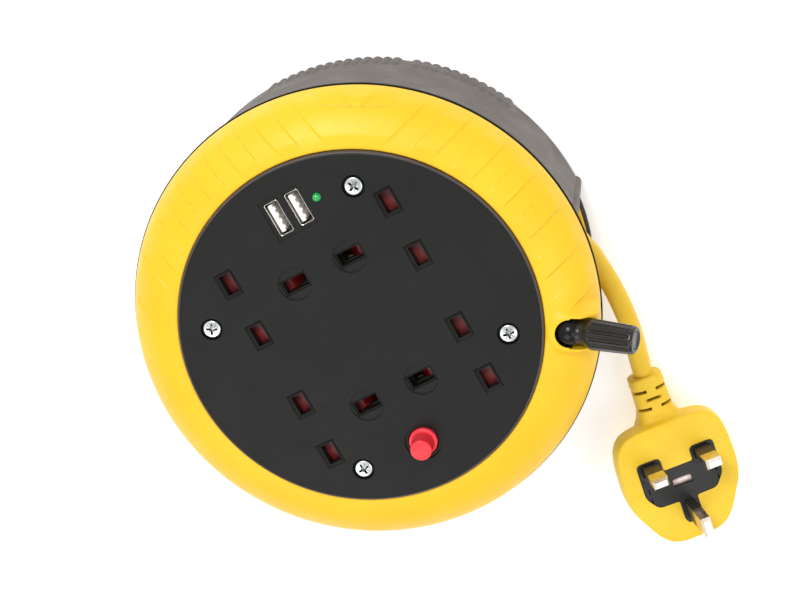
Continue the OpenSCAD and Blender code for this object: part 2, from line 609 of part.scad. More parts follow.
module handle_grip() color(c_black) along_grip() difference() {
    rotate_extrude($fn = 72) polygon([[2.65, 4.45], [3.3, 4.0], [3.87, 3.42], [4.3, 3.42], [4.15, 5], [4.3, 6],
        [5.55, 8.7], [5.75, 9.4], [5.7, 10.2], [5.25, grip_l - 1.5], [5.05, grip_l - 0.6], [4.4, grip_l],
        [3.3, grip_l], [3.3, grip_l - 2.4], [2.65, grip_l - 2.4]]);
    for (i = [0 : flutes - 1]) rotate([0, 0, i * 360 / flutes]) translate([5.62, 0, 8.8])
        rotate([0, -1.2, 0]) cylinder(r = 0.55, h = grip_l - 10.8, $fn = 24);
}

// ---------------------------------------------------------------- cord and plug

// Centre line of the free cord from the cable window to the plug
cord_pts = [[81.9, -25, 31.7], [82, -33, 29], [82, -41, 26.4], [81.3, -49.6, 23.2], [80.3, -57, 20.4],
    [79, -64, 17.5], [77.4, -70.5, 15], [75.8, -76, 13.2], [74.49, -81.5, 12.46]];

module free_cord() color(c_yellow)
    tube(fine(cord_pts), cable_d / 2, 12, [sin(plug_yaw), -cos(plug_yaw), 0]);

plug_half = [[11.8, 16.5], [17.6, 14.6], [21, 10.5], [22.3, 4], [22.6, -8], [21.6, -15.2], [14.6, -29],
    [11, -33], [6.4, -34.6]];
plug_outline = concat(plug_half, [for (i = [len(plug_half) - 1 : -1 : 0]) [-plug_half[i][0], plug_half[i][1]]]);
carrier_half = [[16.4, 3.3], [16.5, -11.6], [12.5, -17.3], [3.8, -17.5], [3.8, -25.5], [2.6, -27.8]];
carrier_outline = concat([[6.3, -2.7], [6.3, 3.3]], carrier_half,
    [for (i = [len(carrier_half) - 1 : -1 : 0]) [-carrier_half[i][0], carrier_half[i][1]]], [[-6.3, 3.3], [-6.3, -2.7]]);

module plug_slice(z, s) translate([0, -9, z]) scale([s, s, 1]) translate([0, 9, 0])
    linear_extrude(height = 0.2) polygon(plug_outline);

module plug_body() color(c_yellow) at_plug() difference() {
    union() {
        hull() { translate([0, 0, -0.2]) plug_slice(0, 0.965); plug_slice(-1.4, 0.99); plug_slice(-8, 1); plug_slice(-15.5, 0.9); plug_slice(-20, 0.55); }
        // shoulder into the strain relief
        hull() {
            block(-11, 11, 12, 13, -16.6, -4.4);
            block(-7.3, 7.3, 20.6, 21, -16.4, -4.6);
        }
    }
    translate([0, 0, -4]) linear_extrude(height = 10) polygon(carrier_outline);
    translate([-13, -9.5, -4.2]) rotate([0, 90, 0]) cylinder(r = 3.2, h = 26, $fn = 48);
    for (s = [-1, 1]) translate([s * half, 0, 0]) block(-3.3, 3.3, -2.1, 2.1, -9, 1);
    translate([0, -pin_pitch, 0]) block(-2.1, 2.1, -4.1, 4.1, -9, 1);
}

module plug_strain_relief() color(c_yellow) at_plug() difference() {
    hull() {
        for (s = [-1, 1], t = [-1, 1]) {
            translate([s * 4.2, 21, -10.5 + t * 2.9]) rotate([-90, 0, 0]) cylinder(r = 3, h = 0.4, $fn = 32);
            translate([s * 3.7, 37.2, -10.5 + t * 2.6]) rotate([-90, 0, 0]) cylinder(r = 2.9, h = 0.6, $fn = 32);
        }
    }
    // staggered slots on both faces
    for (t = [-1, 1], i = [0 : 2]) {
        translate([0, 24.6 + 4.6 * i, -10.5 + t * 5.4]) block(-7.6, -1.2, -0.55, 0.55, -1.6, 1.6);
        translate([0, 26.9 + 4.6 * i, -10.5 + t * 5.4]) block(1.2, 7.6, -0.55, 0.55, -1.6, 1.6);
    }
}

module plug_pin_carrier() color(c_black) at_plug() difference() {
    translate([0, 0, -4]) linear_extrude(height = 4.15) polygon(carrier_outline);
    // fuse and its window
    translate([-13, -9.5, -4.2]) rotate([0, 90, 0]) cylinder(r = 3.2, h = 26, $fn = 48);
    block(-4.1, 3.9, -10.8, -8.2, -4, 1);
    for (s = [-1, 1]) translate([s * half, 0, 0]) {
        block(-2.7, 2.7, -1.5, 1.5, -5, 1);
        block(-3.6, 3.6, -2.4, 3, -0.9, 1);
    }
    translate([0, -pin_pitch, 0]) {
        block(-1.5, 1.5, -3.45, 3.45, -5, 1);
        block(-1.985, 1.985, -3.96, 3.96, -0.9, 1);
    }
}

module plug_fuse() color("silver") at_plug() translate([-12.7, -9.5, -4.2]) rotate([0, 90, 0])
    union() {
        cylinder(r = 3.0, h = 25.4, $fn = 48);
        cylinder(r = 3.15, h = 6, $fn = 48);
        translate([0, 0, 19.4]) cylinder(r = 3.15, h = 6, $fn = 48);
    }

// Pin with a chamfered tip: half sizes a along X, b along Y
module pin_blade(a, b, z0, z1) intersection() {
    block(-a, a, -b, b, z0, z1);
    rotate([90, 0, 0]) linear_extrude(height = 40, center = true)
        polygon([[-a, z0], [a, z0], [a, z1 - 1.6], [a - 0.9, z1], [0.9 - a, z1], [-a, z1 - 1.6]]);
    rotate([90, 0, 90]) linear_extrude(height = 40, center = true)
        polygon([[-b, z0], [b, z0], [b, z1 - 1.6], [b - 0.8, z1], [0.8 - b, z1], [-b, z1 - 1.6]]);
}

module power_pin() {
    block(-2.65, 2.65, -1.45, 1.45, -8.8, 9.3);
    pin_blade(3.175, 1.985, 9.3, 17.7);
}
module plug_pin_live() color(c_brass) at_plug() translate([half, 0, 0]) power_pin();
module plug_pin_neutral() color(c_brass) at_plug() translate([-half, 0, 0]) power_pin();
module plug_pin_earth() color(c_brass) at_plug() translate([0, -pin_pitch, 0]) {
    block(-1.45, 1.45, -3.4, 3.4, -8.8, 10.3);
    pin_blade(1.98, 3.95, 10.3, 22.7);
}

module plug_pin_sleeves() color(c_black) at_plug() {
    for (s = [-1, 1]) translate([s * half, 0, 0]) difference() {
        block(-3.175, 3.175, -1.985, 1.985, -0.9, 9.3);
        block(-2.65, 2.65, -1.45, 1.45, -1, 10);
    }
    translate([0, -pin_pitch, 0]) difference() {
        block(-1.98, 1.98, -3.95, 3.95, -0.9, 10.3);
        block(-1.45, 1.45, -3.4, 3.4, -1, 11);
    }
}

rear_housing();
rubber_feet();
spindle();
spindle_screws();
thrust_washer();
retaining_washer();
retaining_screw();
front_ring();
drum_hub();
rear_flange();
hub_bush();
flange_screws();
drum_screws();
wound_cable();
cable_tail();
cord_clamp();
clamp_screws();
socket_plate();
plate_screws();
contact_carrier();
carrier_screws();
live_contacts();
neutral_contacts();
earth_contacts();
live_wires();
neutral_wires();
earth_wires();
usb_board();
usb_screws();
usb_transformer();
usb_shells();
usb_tongues();
status_led();
thermal_cutout();
cutout_screws();
cutout_terminals();
reset_spring();
reset_button();
shutter_a();
shutter_b();
shutter_c();
shutter_d();
shutter_spring_a();
shutter_spring_b();
shutter_spring_c();
shutter_spring_d();
handle_pin();
handle_core();
grip_screw();
handle_grip();
free_cord();
plug_body();
plug_strain_relief();
plug_pin_carrier();
plug_fuse();
plug_pin_live();
plug_pin_neutral();
plug_pin_earth();
plug_pin_sleeves();
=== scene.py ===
import math

import bmesh
import bpy
import numpy as np
from mathutils import Matrix, Vector


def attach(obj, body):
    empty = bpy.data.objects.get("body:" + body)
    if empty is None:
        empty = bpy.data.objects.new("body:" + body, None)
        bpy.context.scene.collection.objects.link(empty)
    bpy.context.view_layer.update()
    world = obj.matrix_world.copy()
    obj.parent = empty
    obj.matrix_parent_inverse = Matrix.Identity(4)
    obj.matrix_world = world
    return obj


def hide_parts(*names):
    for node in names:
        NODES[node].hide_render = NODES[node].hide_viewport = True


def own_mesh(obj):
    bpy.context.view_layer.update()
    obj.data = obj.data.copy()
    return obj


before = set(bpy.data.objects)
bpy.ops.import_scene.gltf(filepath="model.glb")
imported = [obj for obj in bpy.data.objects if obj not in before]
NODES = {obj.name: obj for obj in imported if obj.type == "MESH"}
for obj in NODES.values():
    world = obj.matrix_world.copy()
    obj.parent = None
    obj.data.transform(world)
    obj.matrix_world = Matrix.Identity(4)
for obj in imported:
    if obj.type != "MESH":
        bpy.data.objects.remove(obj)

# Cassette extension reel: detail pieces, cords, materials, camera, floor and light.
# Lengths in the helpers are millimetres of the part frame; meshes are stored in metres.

MM = 0.001
rad = math.radians


# ------------------------------------------------------------------ small helpers

def smooth(t):
    t = np.clip(t, 0.0, 1.0)
    return t * t * (3 - 2 * t)


def lin(r, g, b):
    """sRGB numbers from 0 to 255 as a linear colour"""
    out = []
    for c in (r, g, b):
        c = c / 255
        out.append(c / 12.92 if c <= 0.04045 else ((c + 0.055) / 1.055) ** 2.4)
    return (*out, 1.0)


def mesh_obj(name, verts, faces, angle=32, flat=False):
    me = bpy.data.meshes.new(name)
    me.from_pydata((np.asarray(verts, float) * MM).tolist(), [], faces)
    me.update()
    if not flat:
        me.shade_smooth()
        me.set_sharp_from_angle(angle=rad(angle))
    ob = bpy.data.objects.new(name, me)
    bpy.context.scene.collection.objects.link(ob)
    return ob


def skin_faces(m, n, wrap_rows=False):
    """Quads between m rings of n points"""
    faces = []
    last = m if wrap_rows else m - 1
    for i in range(last):
        a, b = i * n, ((i + 1) % m) * n
        for k in range(n):
            k1 = (k + 1) % n
            faces.append((a + k, b + k, b + k1, a + k1))
    return faces


def rings(name, P, start=None, end=None, wrap_rows=False, angle=32, flip=False):
    """Closed surface through rings P of shape (m, n, 3); start and end are pole points"""
    P = np.asarray(P, float)
    m, n, _ = P.shape
    verts = P.reshape(-1, 3).tolist()
    faces = skin_faces(m, n, wrap_rows)
    if start is not None:
        verts.append(list(start))
        c = len(verts) - 1
        faces += [(c, k, (k + 1) % n) for k in range(n)]
    if end is not None:
        verts.append(list(end))
        c = len(verts) - 1
        b = (m - 1) * n
        faces += [(c, b + (k + 1) % n, b + k) for k in range(n)]
    if flip:
        faces = [f[::-1] for f in faces]
    ob = mesh_obj(name, verts, faces, angle)
    return ob


def lathe(name, profile, n=96, radial=None, angle=32):
    """Revolve (r, z) pairs round Z, from the lower pole to the upper one or the other way; radial(r, z, a) changes r"""
    a = np.arange(n) * 2 * math.pi / n
    start = end = None
    pr = [tuple(p) for p in profile]
    if pr[0][0] == 0:
        start = (0, 0, pr[0][1])
        pr = pr[1:]
    if pr[-1][0] == 0:
        end = (0, 0, pr[-1][1])
        pr = pr[:-1]
    P = np.zeros((len(pr), n, 3))
    for i, (r, z) in enumerate(pr):
        rr = np.full(n, float(r)) if radial is None else radial(float(r), float(z), a)
        P[i, :, 0] = rr * np.cos(a)
        P[i, :, 1] = rr * np.sin(a)
        P[i, :, 2] = z
    ob = rings(name, P, start, end, wrap_rows=start is None and end is None, angle=angle)
    outward(ob)
    return ob


def outward(ob):
    bm = bmesh.new()
    bm.from_mesh(ob.data)
    bmesh.ops.recalc_face_normals(bm, faces=bm.faces)
    bm.to_mesh(ob.data)
    bm.free()
    ob.data.update()


def dense(profile, step):
    """Points no further apart than step along a profile of (r, z) pairs"""
    out = [profile[0]]
    for p, q in zip(profile, profile[1:]):
        k = max(1, int(math.ceil(math.hypot(q[0] - p[0], q[1] - p[1]) / step)))
        for i in range(1, k + 1):
            out.append((p[0] + (q[0] - p[0]) * i / k, p[1] + (q[1] - p[1]) * i / k))
    return out


def arc(cx, cy, r, a0, a1, k=6):
    return [(cx + r * math.cos(rad(a0 + (a1 - a0) * i / k)), cy + r * math.sin(rad(a0 + (a1 - a0) * i / k)))
            for i in range(k + 1)]


def rounded(points, r, seg=6):
    """Closed outline with its corners rounded"""
    out = []
    n = len(points)
    for i in range(n):
        a, b, c = (Vector(points[(i + d) % n]) for d in (-1, 0, 1))
        da, dc = a - b, c - b
        rr = r[i] if isinstance(r, (list, tuple)) else r
        t = min(rr, 0.46 * da.length, 0.46 * dc.length)
        p, q = b + da.normalized() * t, b + dc.normalized() * t
        for k in range(seg + 1):
            s = k / seg
            out.append(tuple(p * (1 - s) ** 2 + b * 2 * s * (1 - s) + q * s * s))
    return out


def even(points, n):
    """Closed outline as n points at equal steps"""
    P = np.array(points + [points[0]], float)
    s = np.r_[0, np.cumsum(np.hypot(*np.diff(P, axis=0).T))]
    t = np.arange(n) * s[-1] / n
    return np.c_[np.interp(t, s, P[:, 0]), np.interp(t, s, P[:, 1])]


def prism(name, outline, z0, z1):
    o = np.asarray(outline, float)
    n = len(o)
    P = np.zeros((2, n, 3))
    P[:, :, :2] = o
    P[0, :, 2], P[1, :, 2] = z0, z1
    verts = P.reshape(-1, 3).tolist()
    faces = skin_faces(2, n) + [list(range(n)), list(range(2 * n - 1, n - 1, -1))]
    ob = mesh_obj(name, verts, faces, flat=True)
    outward(ob)
    return ob


def box_mesh(name, x0, x1, y0, y1, z0, z1):
    return prism(name, [(x0, y0), (x1, y0), (x1, y1), (x0, y1)], z0, z1)


def applied(ob):
    dg = bpy.context.evaluated_depsgraph_get()
    me = bpy.data.meshes.new_from_object(ob.evaluated_get(dg), depsgraph=dg)
    ob.modifiers.clear()
    old = ob.data
    ob.data = me
    if old.users == 0:
        bpy.data.meshes.remove(old)
    return ob


def drop(*obs):
    for o in obs:
        me = o.data
        bpy.data.objects.remove(o, do_unlink=True)
        if me.users == 0:
            bpy.data.meshes.remove(me)


def joined(name, obs):
    """One mesh from several objects at the origin"""
    bm = bmesh.new()
    for o in obs:
        bm.from_mesh(o.data)
    me = bpy.data.meshes.new(name)
    bm.to_mesh(me)
    bm.free()
    drop(*obs)
    ob = bpy.data.objects.new(name, me)
    bpy.context.scene.collection.objects.link(ob)
    return ob


def cut(ob, cutters, solver="MANIFOLD", op="DIFFERENCE"):
    before = len(ob.data.vertices)
    for i, c in enumerate(cutters):
        m = ob.modifiers.new(f"cut{i}", "BOOLEAN")
        m.operation = op
        m.object = c
        m.solver = solver
    applied(ob)
    if solver == "MANIFOLD" and len(ob.data.vertices) < 0.2 * before:
        raise RuntimeError(f"cut of {ob.name} came out empty")
    drop(*cutters)
    return ob


def voxels(ob, size_mm, passes=4, factor=0.5):
    m = ob.modifiers.new("remesh", "REMESH")
    m.mode = "VOXEL"
    m.voxel_size = size_mm * MM
    m.adaptivity = 0
    if passes:
        s = ob.modifiers.new("soften", "SMOOTH")
        s.factor = factor
        s.iterations = passes
    return applied(ob)


def shade(ob, angle=32):
    ob.data.shade_smooth()
    ob.data.set_sharp_from_angle(angle=rad(angle))
    return ob


def settle(ob, mat, body, slot, *nodes):
    """Material, body and the CAD nodes that a piece stands for; the finish slot argument is not used"""
    ob.data.materials.clear()
    ob.data.materials.append(mat)
    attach(ob, body)
    if nodes:
        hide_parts(*nodes)
    return ob


# ------------------------------------------------------------------ materials

def new_mat(name):
    m = bpy.data.materials.new(name)
    m.use_nodes = True
    nt = m.node_tree
    nt.nodes.clear()
    out = nt.nodes.new("ShaderNodeOutputMaterial")
    b = nt.nodes.new("ShaderNodeBsdfPrincipled")
    nt.links.new(b.outputs["BSDF"], out.inputs["Surface"])
    return m, nt, b


def add(nt, kind, **values):
    n = nt.nodes.new(kind)
    for k, v in values.items():
        if hasattr(n, k):
            setattr(n, k, v)
        else:
            n.inputs[k.replace("_", " ")].default_value = v
    return n


def noise(nt, coord, scale, detail=3.0, rough=0.5, dist=0.0):
    n = nt.nodes.new("ShaderNodeTexNoise")
    n.inputs["Scale"].default_value = scale
    n.inputs["Detail"].default_value = detail
    n.inputs["Roughness"].default_value = rough
    n.inputs["Distortion"].default_value = dist
    nt.links.new(coord, n.inputs["Vector"])
    return n.outputs["Fac"]


def remap(nt, value, a0, a1, b0, b1):
    n = nt.nodes.new("ShaderNodeMapRange")
    n.clamp = True
    for k, v in zip(("From Min", "From Max", "To Min", "To Max"), (a0, a1, b0, b1)):
        n.inputs[k].default_value = v
    nt.links.new(value, n.inputs["Value"])
    return n.outputs["Result"]


def blend_col(nt, fac, a, b, mode="MIX"):
    n = nt.nodes.new("ShaderNodeMix")
    n.data_type = "RGBA"
    n.blend_type = mode
    n.clamp_factor = True
    for sock, v in ((n.inputs[6], a), (n.inputs[7], b)):
        if isinstance(v, tuple):
            sock.default_value = v
        else:
            nt.links.new(v, sock)
    nt.links.new(fac, n.inputs[0])
    return n.outputs[2]


def math_node(nt, op, a, b=None):
    n = nt.nodes.new("ShaderNodeMath")
    n.operation = op
    for i, v in enumerate((a, b)):
        if v is None:
            continue
        if isinstance(v, (int, float)):
            n.inputs[i].default_value = v
        else:
            nt.links.new(v, n.inputs[i])
    return n.outputs[0]


def plastic(name, base, deep, light, rough=(0.34, 0.46), grain=1800, grain_h=0.035, peel=260, peel_h=0.03,
            bevel=0.25, specks=None, spec=0.5, edge_wear_and_highlight=0.0, coat=0.0, sub=0.0, mottle=70, smudge=0.0, painted_hollow_shade=0.0):
    """Moulded plastic: slow drift of colour, fine grain, orange peel, soft edges, specks of dust, rubbed edges
    lightened towards the light colour (partly a painted edge highlight), and painted shade that darkens the hollows
    """
    m, nt, b = new_mat(name)
    co = nt.nodes.new("ShaderNodeTexCoord").outputs["Object"]
    slow = noise(nt, co, mottle, 4, 0.55)
    fine = noise(nt, co, 900, 4, 0.6)
    col = blend_col(nt, remap(nt, slow, 0.34, 0.68, 0, 1), deep, light)
    col = blend_col(nt, remap(nt, fine, 0.3, 0.72, 0.75, 0.15), col, base)
    if specks:
        sp = noise(nt, co, specks[0], 2, 0.5)
        col = blend_col(nt, remap(nt, sp, specks[1], specks[1] + 0.04, 0, specks[2]), col, specks[3])
    # rubbed edges and painted edge highlight: convex edges lightened towards the light colour
    if edge_wear_and_highlight:
        geo = nt.nodes.new("ShaderNodeNewGeometry").outputs["Pointiness"]
        edge = remap(nt, geo, 0.515, 0.60, 0, edge_wear_and_highlight)
        edge = math_node(nt, "MULTIPLY", edge, remap(nt, noise(nt, co, 420, 4, 0.6), 0.35, 0.6, 0.3, 1))
        col = blend_col(nt, edge, col, light)
    # painted shade: the base colour goes towards near black in hollows, by ambient occlusion
    if painted_hollow_shade:
        ao = nt.nodes.new("ShaderNodeAmbientOcclusion")
        ao.samples = 6
        ao.inputs["Distance"].default_value = painted_hollow_shade * MM
        col = blend_col(nt, remap(nt, ao.outputs["AO"], 0.12, 0.62, 0.96, 0), col, (0.006, 0.005, 0.005, 1))
    nt.links.new(col, b.inputs["Base Color"])
    ro = remap(nt, noise(nt, co, mottle * 2.3, 5, 0.6), 0.3, 0.7, rough[0], rough[1])
    if smudge:
        ro = math_node(nt, "ADD", ro, remap(nt, noise(nt, co, 34, 3, 0.5, 0.6), 0.5, 0.68, 0, smudge))
    nt.links.new(ro, b.inputs["Roughness"])
    b.inputs["Specular IOR Level"].default_value = spec
    b.inputs["IOR"].default_value = 1.5
    if coat:
        b.inputs["Coat Weight"].default_value = coat
        b.inputs["Coat Roughness"].default_value = 0.12
    if sub:
        b.inputs["Subsurface Weight"].default_value = sub
        b.inputs["Subsurface Radius"].default_value = (0.002, 0.001, 0.0004)
        b.inputs["Subsurface Scale"].default_value = 1.0
    height = math_node(nt, "ADD", math_node(nt, "MULTIPLY", noise(nt, co, grain, 3, 0.6), grain_h),
                       math_node(nt, "MULTIPLY", noise(nt, co, peel, 2, 0.5), peel_h))
    bump = nt.nodes.new("ShaderNodeBump")
    bump.inputs["Strength"].default_value = 0.8
    bump.inputs["Distance"].default_value = 0.001
    nt.links.new(height, bump.inputs["Height"])
    if bevel:
        bv = nt.nodes.new("ShaderNodeBevel")
        bv.samples = 4
        bv.inputs["Radius"].default_value = bevel * MM
        nt.links.new(bv.outputs["Normal"], bump.inputs["Normal"])
    nt.links.new(bump.outputs["Normal"], b.inputs["Normal"])
    return m


def metal(name, base, deep, light, rough=(0.2, 0.36), brush=None, bevel=0.15, spots=0.0, grain=1400, painted_hollow_shade=0.0):
    """Plated or bare metal: drift of tone, handling marks, fine scratches and painted shade that darkens the hollows"""
    m, nt, b = new_mat(name)
    co = nt.nodes.new("ShaderNodeTexCoord").outputs["Object"]
    mp = nt.nodes.new("ShaderNodeMapping")
    mp.inputs["Scale"].default_value = brush or (1, 1, 1)
    nt.links.new(co, mp.inputs["Vector"])
    slow = noise(nt, co, 240, 4, 0.6)
    scr = noise(nt, mp.outputs["Vector"], grain, 5, 0.7)
    col = blend_col(nt, remap(nt, slow, 0.33, 0.66, 0, 1), deep, light)
    col = blend_col(nt, remap(nt, scr, 0.35, 0.7, 0.65, 0.1), col, base)
    if spots:
        col = blend_col(nt, remap(nt, noise(nt, co, 1700, 3, 0.6), 0.60, 0.68, 0, spots), col, deep)
    # painted shade: the base colour goes towards dark grey in hollows, by ambient occlusion
    if painted_hollow_shade:
        ao = nt.nodes.new("ShaderNodeAmbientOcclusion")
        ao.samples = 6
        ao.only_local = True
        ao.inputs["Distance"].default_value = painted_hollow_shade * MM
        col = blend_col(nt, remap(nt, ao.outputs["AO"], 0.45, 0.9, 0.94, 0), col, (0.035, 0.035, 0.035, 1))
    nt.links.new(col, b.inputs["Base Color"])
    b.inputs["Metallic"].default_value = 1.0
    nt.links.new(remap(nt, scr, 0.3, 0.7, rough[0], rough[1]), b.inputs["Roughness"])
    bump = nt.nodes.new("ShaderNodeBump")
    bump.inputs["Strength"].default_value = 0.5
    bump.inputs["Distance"].default_value = 0.00004
    nt.links.new(scr, bump.inputs["Height"])
    if bevel:
        bv = nt.nodes.new("ShaderNodeBevel")
        bv.samples = 4
        bv.inputs["Radius"].default_value = bevel * MM
        nt.links.new(bv.outputs["Normal"], bump.inputs["Normal"])
    nt.links.new(bump.outputs["Normal"], b.inputs["Normal"])
    return m


# the lightened edges of the ring, plug, button and pin carrier plastics are partly rubbed wear and partly painted edge
# highlight
# the plug, shutter and handle plastics and the zinc and nickel metals have painted shade in their hollows
MAT = {
    "ring": plastic("ring_yellow", lin(240, 191, 24), lin(237, 186, 19), lin(244, 198, 36), rough=(0.38, 0.50),
                    grain_h=0.02, peel=180, peel_h=0.05, bevel=0.3, spec=0.42, edge_wear_and_highlight=0.35, sub=0.04, mottle=26, smudge=0.06),
    "drum": plastic("drum_yellow", lin(238, 188, 30), lin(230, 176, 22), lin(244, 198, 50), rough=(0.4, 0.52), spec=0.4),
    "cable": plastic("cable_yellow", lin(236, 193, 38), lin(229, 184, 30), lin(242, 203, 58), rough=(0.42, 0.55),
                     grain=1300, grain_h=0.05, peel=300, peel_h=0.05, bevel=0, spec=0.4, sub=0.02, mottle=60, smudge=0.05),
    "plug": plastic("plug_yellow", lin(238, 196, 40), lin(231, 187, 32), lin(244, 206, 60), rough=(0.44, 0.56),
                    grain=1500, grain_h=0.05, peel=240, peel_h=0.05, bevel=0.2, spec=0.4, edge_wear_and_highlight=0.3, sub=0.02, mottle=55, smudge=0.05, painted_hollow_shade=1.7),
    "plate": plastic("plate_black", lin(20, 20, 19), lin(17, 17, 17), lin(26, 25, 24), rough=(0.40, 0.50), grain=2200,
                     grain_h=0.06, peel=420, peel_h=0.03, bevel=0.25, specks=(2600, 0.735, 0.5, lin(110, 106, 100)),
                     spec=0.24, mottle=34, smudge=0.05),
    # near-black matte: the socket lining, and the band that paints the shadow line under the ring's edge
    "dark_band": plastic("black_lining_and_shade_band", lin(9, 8, 8), lin(7, 7, 7), lin(13, 12, 11), rough=(0.6, 0.75), bevel=0, spec=0.12),
    # lighter grey-brown for the socket plate's edge band: painted reflection on the black plate's rounded edge
    "rim": plastic("plate_edge_painted_reflection", lin(74, 64, 59), lin(64, 56, 52), lin(88, 77, 72), rough=(0.4, 0.52), bevel=0, spec=0.4, mottle=60),
    "carrier": plastic("carrier_grey", lin(52, 52, 54), lin(44, 44, 46), lin(62, 62, 64), rough=(0.45, 0.6), spec=0.4),
    "cutout": plastic("cutout_black", lin(40, 40, 44), lin(34, 34, 37), lin(50, 50, 54), rough=(0.45, 0.6), spec=0.4),
    "housing": plastic("housing_grey", lin(81, 72, 65), lin(77, 68, 61), lin(87, 77, 69), rough=(0.42, 0.56), grain=2000,
                       grain_h=0.07, peel=350, peel_h=0.03, bevel=0.3, specks=(2400, 0.74, 0.4, lin(150, 142, 132)),
                       spec=0.32, mottle=38, smudge=0.05),
    "shutter": plastic("shutter_red", lin(152, 26, 28), lin(132, 18, 20), lin(176, 42, 42), rough=(0.3, 0.42), spec=0.4,
                       grain_h=0.03, painted_hollow_shade=8.0),
    "button": plastic("button_red", lin(236, 38, 52), lin(226, 30, 42), lin(244, 82, 90), rough=(0.3, 0.4), grain_h=0.02,
                      peel_h=0.02, bevel=0.2, spec=0.5, sub=0.12, edge_wear_and_highlight=0.5, mottle=120),
    "handle": plastic("handle_black", lin(36, 33, 30), lin(28, 26, 24), lin(50, 46, 41), rough=(0.18, 0.28), grain=2200,
                      grain_h=0.03, peel=500, peel_h=0.02, bevel=0, spec=0.42, edge_wear_and_highlight=0.0, mottle=140, smudge=0.08, painted_hollow_shade=3.4),
    "ball": plastic("ball_black", lin(16, 15, 14), lin(13, 12, 12), lin(24, 22, 20), rough=(0.16, 0.26), grain=2400,
                    grain_h=0.02, peel=400, peel_h=0.02, bevel=0, spec=0.28, edge_wear_and_highlight=0.0, mottle=160),
    "pins": plastic("pin_carrier_black", lin(24, 24, 23), lin(20, 20, 20), lin(36, 35, 33), rough=(0.36, 0.5), grain=2400,
                    grain_h=0.06, bevel=0, spec=0.4, edge_wear_and_highlight=0.5, specks=(2600, 0.72, 0.5, lin(96, 92, 88))),
    "sleeve": plastic("sleeve_black", lin(44, 39, 36), lin(36, 33, 31), lin(62, 55, 50), rough=(0.34, 0.48), bevel=0.2, spec=0.5),
    "foot": plastic("foot_rubber", lin(38, 37, 36), lin(32, 31, 31), lin(48, 47, 45), rough=(0.7, 0.85), grain=1500,
                    grain_h=0.10, spec=0.25),
    "washer": plastic("washer_white", lin(226, 224, 216), lin(214, 212, 204), lin(236, 234, 228), rough=(0.35, 0.5)),
    "usb_white": plastic("usb_white", lin(240, 236, 230), lin(228, 222, 214), lin(250, 247, 243), rough=(0.3, 0.42), bevel=0.1, spec=0.5),
    "led": plastic("led_green", lin(24, 176, 88), lin(10, 148, 66), lin(80, 214, 134), rough=(0.12, 0.2), bevel=0,
                   spec=0.6, coat=0.6, sub=0.25, grain_h=0.0, mottle=300),
    "pcb": plastic("pcb_green", lin(24, 92, 54), lin(18, 74, 42), lin(40, 116, 70), rough=(0.3, 0.45), bevel=0.1, mottle=320,
                   specks=(1400, 0.66, 0.6, lin(196, 170, 90))),
    "coil": plastic("coil_buff", lin(206, 172, 96), lin(184, 146, 76), lin(222, 192, 120), rough=(0.4, 0.6), mottle=200),
    "ceramic": plastic("ceramic", lin(206, 190, 184), lin(190, 170, 164), lin(224, 212, 206), rough=(0.3, 0.45), bevel=0, mottle=260),
    "wire_brown": plastic("wire_brown", lin(104, 60, 32), lin(88, 48, 26), lin(124, 76, 44), rough=(0.4, 0.5), bevel=0),
    "wire_blue": plastic("wire_blue", lin(44, 96, 176), lin(34, 80, 156), lin(64, 116, 196), rough=(0.4, 0.5), bevel=0),
    "steel": metal("steel", (0.72, 0.74, 0.75, 1), (0.52, 0.54, 0.55, 1), (0.86, 0.88, 0.88, 1), rough=(0.2, 0.38),
                   spots=0.5, brush=(1, 1, 1)),
    "zinc": metal("zinc", (0.80, 0.83, 0.84, 1), (0.56, 0.60, 0.62, 1), (0.93, 0.95, 0.95, 1), rough=(0.16, 0.34), spots=0.45, painted_hollow_shade=1.4),
    "nickel": metal("nickel", (0.86, 0.83, 0.78, 1), (0.72, 0.68, 0.62, 1), (0.94, 0.92, 0.88, 1), rough=(0.12, 0.28),
                    brush=(1, 1, 0.15), painted_hollow_shade=5.0),
    "pin_metal": metal("pin_nickel", (0.72, 0.64, 0.57, 1), (0.58, 0.49, 0.42, 1), (0.80, 0.73, 0.67, 1), rough=(0.18, 0.34),
                       brush=(1, 1, 0.12), bevel=0.3),
    "brass": metal("brass", (0.80, 0.62, 0.30, 1), (0.64, 0.46, 0.20, 1), (0.90, 0.74, 0.42, 1), rough=(0.24, 0.42), spots=0.4),
}


def wire_green_yellow():
    """Earth wire: green with a yellow stripe that winds along it"""
    m, nt, b = new_mat("wire_green_yellow")
    co = nt.nodes.new("ShaderNodeTexCoord").outputs["Object"]
    w = nt.nodes.new("ShaderNodeTexWave")
    w.wave_type = "BANDS"
    w.bands_direction = "DIAGONAL"
    w.inputs["Scale"].default_value = 120
    w.inputs["Distortion"].default_value = 0.6
    nt.links.new(co, w.inputs["Vector"])
    col = blend_col(nt, remap(nt, w.outputs["Fac"], 0.45, 0.55, 0, 1), lin(70, 140, 50), lin(226, 206, 60))
    nt.links.new(col, b.inputs["Base Color"])
    nt.links.new(remap(nt, noise(nt, co, 500, 3), 0.3, 0.7, 0.38, 0.5), b.inputs["Roughness"])
    bump = nt.nodes.new("ShaderNodeBump")
    bump.inputs["Strength"].default_value = 0.4
    bump.inputs["Distance"].default_value = 0.00005
    nt.links.new(noise(nt, co, 1500, 3), bump.inputs["Height"])
    nt.links.new(bump.outputs["Normal"], b.inputs["Normal"])
    return m


MAT["wire_green"] = wire_green_yellow()

